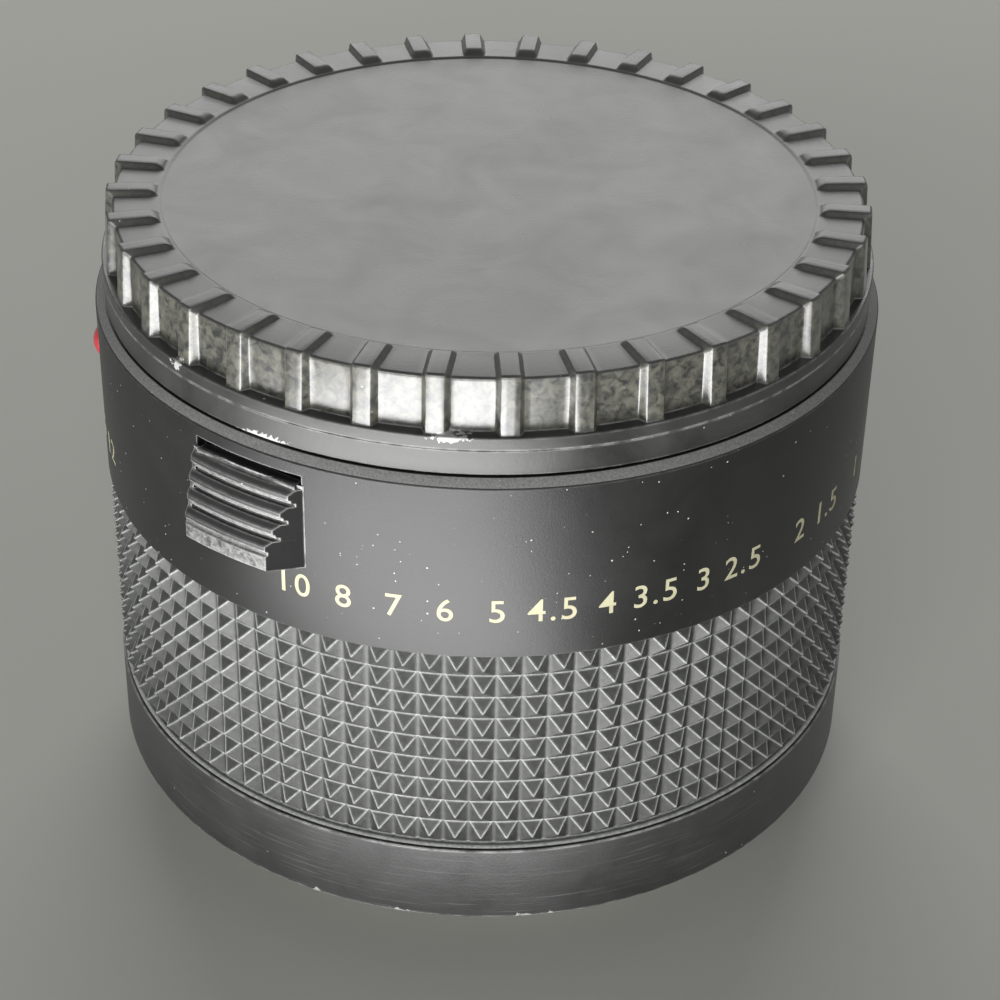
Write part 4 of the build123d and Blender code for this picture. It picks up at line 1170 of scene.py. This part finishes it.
@dataclass
class ReleaseSlide(SubAssembly):
    """Stepped thumb slide that releases the lens."""

    azimuth: float = -33.5
    foot: float = 32.02
    half_width: float = 5.1
    side_slope: float = 2.1
    left_slope: float = 0.25
    top: float = 45.05
    height: float = 7.2
    rise_top: float = 0.35
    rise_nose: float = 1.9
    crests: int = 4
    slot_depth: float = 0.75
    slot_share: float = 0.2
    slope_depth: float = 0.42
    slope_share: float = 0.28
    crest_share: float = 0.3
    strip_depth: float = 0.14
    nose_share: float = 0.2
    corner: float = 0.14
    floor_corner: float = 0.03
    side_wall: float = 0.45
    side_share: float = 0.5
    wall_columns: int = 4
    face_columns: int = 12
    sharp_angle: float = 32.0
    neck_half_width: float = 4.6
    neck_low: float = 41.15
    neck_inner: float = 30.1
    upper_neck_inner: float = 31.0
    neck_softening: float = 0.1
    seat_z: float = 43.6
    gap: float = 0.3
    web: float = 0.06
    travel: float = 2.0

    def outline(self, slot_depth: float) -> Profile:
        """Make the rounded outline of the stepped face, from the top down to the nose.

        Args:
            slot_depth: how far the slots lie under their crests.

        Returns:
            Radius and height of each point.
        """
        low = self.top - self.height
        nose_top = low + self.nose_share * self.height
        step = (self.top - nose_top) / self.crests
        corners = [(self.foot, self.top, 0.0)]
        for index in range(self.crests):
            upper = self.top - index * step
            share = (index + 1) / self.crests
            crest = self.foot + self.rise_top + share * (self.rise_nose - self.rise_top)
            slope_top = upper - self.slot_share * step
            crest_top = slope_top - self.slope_share * step
            crest_low = crest_top - self.crest_share * step
            floor = max(crest - slot_depth, self.foot + self.web)
            corners += [(floor, upper, 0.0), (floor, slope_top, 0.0),
                        (crest - self.slope_depth, slope_top, self.floor_corner),
                        (crest, crest_top, self.corner), (crest, crest_low, self.corner / 2),
                        (crest - self.strip_depth, crest_low - self.strip_depth / 2, 0.0),
                        (crest - self.strip_depth, upper - step, self.floor_corner)]
        nose = self.foot + self.rise_nose
        corners += [(nose, nose_top - self.strip_depth, self.corner / 2), (nose, low, self.corner),
                    (self.foot, low, 0.0)]
        return rounded(corners)

    def build(self) -> bpy.types.Object:
        """Make the slide with its neck.

        Returns:
            The dressed slide.
        """
        slotted = self.outline(self.slot_depth)
        whole = self.outline(self.slope_depth + self.strip_depth / 2)
        slope = self.side_slope / self.rise_nose
        lean = self.left_slope / self.rise_nose
        edge = self.corner
        base = self.foot
        wall = self.wall_columns
        left_stops = [0.0, edge / 3, edge, self.side_wall, self.side_wall + edge / 2]
        stops = len(left_stops) + self.face_columns
        build = bmesh.new()

        def beside(index: int, width: float) -> float:
            """Measure how far a column of the face or the back lies from its left edge.

            Args:
                index: counts from the left edge.
                width: the whole width there.

            Returns:
                The distance.
            """
            if index < len(left_stops):
                return left_stops[index]
            share = (index - len(left_stops) + 1) / self.face_columns
            return left_stops[-1] + (width - left_stops[-1]) * share

        def place(column: int, row: int) -> Vector:
            """Place one point of the slide's skin: left wall, face, right wall or back.

            Args:
                column: counts round the skin.
                row: counts down the outline.

            Returns:
                The point, in metres.
            """
            radius, height = (whole if column < wall + len(left_stops) - 1 else slotted)[row]
            if column < wall:
                reach = max(base + (radius - edge / 2 - base) * column / wall, base)
                offset = -self.half_width + lean * (reach - base)
            elif column < wall + stops:
                rise = max(radius - base, 0.0)
                left = -self.half_width + lean * rise
                right = self.half_width - slope * rise
                near = beside(column - wall, right - left)
                offset = left + near
                reach = max(radius - edge / 2 * max(0.0, 1 - near / edge) ** 2, base)
            elif column < 2 * wall + stops:
                share = (column - wall - stops + 1) / wall
                reach = radius + (base - radius) * share
                offset = self.half_width - slope * max(reach - base, 0.0)
            else:
                reach = base
                index = 2 * wall + 2 * stops - 1 - column
                offset = beside(index, 2 * self.half_width) - self.half_width
            turn = math.degrees(math.asin(offset / reach))
            return at_azimuth(self.azimuth + turn, reach, height)

        grid(build, 2 * wall + 2 * stops, len(slotted), place, round_rows=False)
        bmesh.ops.dissolve_degenerate(build, dist=WELD, edges=build.edges)
        for inner, low, high in (
            (self.neck_inner, self.neck_low, self.seat_z - self.gap),
            (self.upper_neck_inner, self.seat_z - 2 * self.gap, self.top),
        ):
            radial_block(build, inner, base + self.web / 2, self.neck_half_width, low, high,
                         self.azimuth, soften=self.neck_softening)
        piece = finish_mesh("stepped_release_slide", build, sharp=self.sharp_angle)
        self.fit(piece, BUTTON, "button_black", "release_button")
        self.shade_right_wall(piece)
        self.load_spring()
        return piece

    def load_spring(self) -> None:
        """Give the return spring its own copy of its mesh."""
        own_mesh(frame["nodes"]["release_spring"])

    def shade_right_wall(self, piece: bpy.types.Object) -> None:
        """Give the leaning wall on the right a darker, duller finish: painted shade on the side
        turned away from the light.

        Args:
            piece: the slide.
        """
        piece.data.materials.append(self.paint.get(SHADED_BUTTON_SIDE))
        turn = math.radians(self.azimuth)
        aside = Vector((math.cos(turn), math.sin(turn), 0.0))
        for face in piece.data.polygons:
            if face.normal.dot(aside) > self.side_share:
                face.material_index = 1


@dataclass
class CadPieces:
    """Pieces whose CAD shape stays, each with the finish of its material slot."""

    paint: Paintbox
    own_finish: dict[str, Finish] = field(default_factory=lambda: {"rear_barrel": BASE})

    def dress(self, record: dict) -> None:
        """Give every CAD node its finish.

        Args:
            record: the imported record.
        """
        for part in record["subparts"]:
            node = frame["nodes"][part["node"]]
            finish = self.own_finish.get(part["node"], SLOT_FINISH[part["material_slot"]])
            node.data.materials.clear()
            node.data.materials.append(self.paint.get(finish))
            log.info("%s has the finish %s", part["node"], finish.name)


@dataclass(frozen=True)
class Softbox:
    """A rectangular lamp: where it is, what it faces and its size in metres, and its watts."""

    name: str
    place: tuple[float, float, float]
    aim: tuple[float, float, float]
    size: tuple[float, float]
    power: float


@dataclass
class Studio:
    """Floor, lamps, world and the camera at the photograph's angle."""

    floor_size: float = 6.0
    floor_colour: Colour = (0.66, 0.665, 0.61)
    floor_roughness: float = 0.95
    floor_specular: float = 0.1
    softboxes: tuple[Softbox, ...] = (
        Softbox("back_softbox", (0.0, 0.62, 0.37), (0.0, 0.0, 0.0234), (0.6, 0.4), 2.1),
        Softbox("front_softbox", (-0.13, -0.75, 0.3), (0.0, 0.0, 0.0234), (0.6, 0.3), 2.6),
        Softbox("floor_panel", (-0.036, -0.18, 0.003), (-0.036, -0.17, 1.0), (0.11, 0.26), 0.75),
    )
    world_colour: Colour = (0.62, 0.63, 0.64)
    world_strength: float = 0.2
    backdrop_colour: Colour = (0.5, 0.5, 0.48)
    elevation: float = 28.30
    distance: float = 206.34
    target_height: float = 46.8
    target_u: float = 484.1
    target_v: float = 278.4
    roll: float = -0.926
    focal_pixels: float = 2493.7
    image_pixels: float = 1000.0
    sensor: float = 36.0
    clip_start: float = 0.01

    def build(self) -> None:
        """Make the whole set."""
        self.floor()
        self.world()
        for softbox in self.softboxes:
            self.lamp(softbox)
        self.camera()

    def floor(self) -> None:
        """Make the plain floor."""
        build = bmesh.new()
        half = self.floor_size / 2
        corners = [(-half, -half), (half, -half), (half, half), (-half, half)]
        build.faces.new([build.verts.new((x, y, 0.0)) for x, y in corners])
        piece = finish_mesh("studio_floor", build)
        material = bpy.data.materials.new("studio_floor")
        material.use_nodes = True
        shader = material.node_tree.nodes["Principled BSDF"]
        shader.inputs["Base Color"].default_value = rgba(self.floor_colour)
        shader.inputs["Roughness"].default_value = self.floor_roughness
        shader.inputs["Specular IOR Level"].default_value = self.floor_specular
        piece.data.materials.append(material)

    def world(self) -> None:
        """Make the even surroundings: a dim fill, and the backdrop that is seen or mirrored."""
        world = bpy.data.worlds.new("studio_world")
        world.use_nodes = True
        world.node_tree.nodes.clear()
        graph = Graph(world.node_tree)
        fill = graph.add("Background", {"Color": rgba(self.world_colour),
                                        "Strength": self.world_strength})
        backdrop = graph.add("Background", {"Color": rgba(self.backdrop_colour)})
        path = graph.add("LightPath")
        mirrored = graph.math("MAXIMUM", path.outputs["Is Glossy Ray"],
                              path.outputs["Is Transmission Ray"])
        seen = graph.math("MAXIMUM", path.outputs["Is Camera Ray"], mirrored)
        both = graph.add("MixShader", {0: seen, 1: fill.outputs[0], 2: backdrop.outputs[0]})
        graph.add("OutputWorld", {"Surface": both.outputs[0]})
        bpy.context.scene.world = world

    @staticmethod
    def lamp(softbox: Softbox) -> None:
        """Make a softbox.

        Args:
            softbox: its name, place, aim, size and power.
        """
        light = bpy.data.lights.new(softbox.name, "AREA")
        light.shape = "RECTANGLE"
        light.size, light.size_y = softbox.size
        light.energy = softbox.power
        lamp = bpy.data.objects.new(softbox.name, light)
        lamp.location = softbox.place
        way = Vector(softbox.aim) - Vector(softbox.place)
        lamp.rotation_euler = way.to_track_quat("-Z", "Y").to_euler()
        lamp.visible_camera = False
        bpy.context.scene.collection.objects.link(lamp)

    def camera(self) -> None:
        """Place the camera where the photograph was taken from."""
        tilt = math.radians(self.elevation)
        place = Vector((0.0, -math.cos(tilt), math.sin(tilt))) * self.distance
        forward = -place.normalized()
        right = Vector((1.0, 0.0, 0.0))
        up = right.cross(forward)
        half = self.image_pixels / 2
        pitch = Matrix.Rotation(math.atan((self.target_v - half) / self.focal_pixels), 3, right)
        forward, up = pitch @ forward, pitch @ up
        yaw = Matrix.Rotation(math.atan((self.target_u - half) / self.focal_pixels), 3, up)
        forward, right = yaw @ forward, yaw @ right
        twist = Matrix.Rotation(math.radians(self.roll), 3, forward)
        right, up = twist @ right, twist @ up
        lens = bpy.data.cameras.new("photo_camera")
        lens.sensor_width = self.sensor
        lens.lens = self.focal_pixels / self.image_pixels * self.sensor
        lens.clip_start = self.clip_start
        camera = bpy.data.objects.new("photo_camera", lens)
        turn = Matrix((right, up, -forward)).transposed().to_4x4()
        spot = (place + Vector((0.0, 0.0, self.target_height))) * MM
        camera.matrix_world = Matrix.Translation(spot) @ turn
        bpy.context.scene.collection.objects.link(camera)
        bpy.context.scene.camera = camera


def main() -> None:
    """Build the set, dress the CAD pieces and make the detailed ones."""
    bpy.context.scene.view_settings.view_transform = "Standard"
    paint = Paintbox()
    Studio().build()
    CadPieces(paint).dress(frame["record"])
    FrontCap(paint, "body_cap").build()
    FrontBarrel(paint, "front_barrel").build()
    FocusGrip(paint, "focus_ring").build()
    ReleaseSlide(paint, "release_slide").build()


if __name__ == "__main__":
    main()
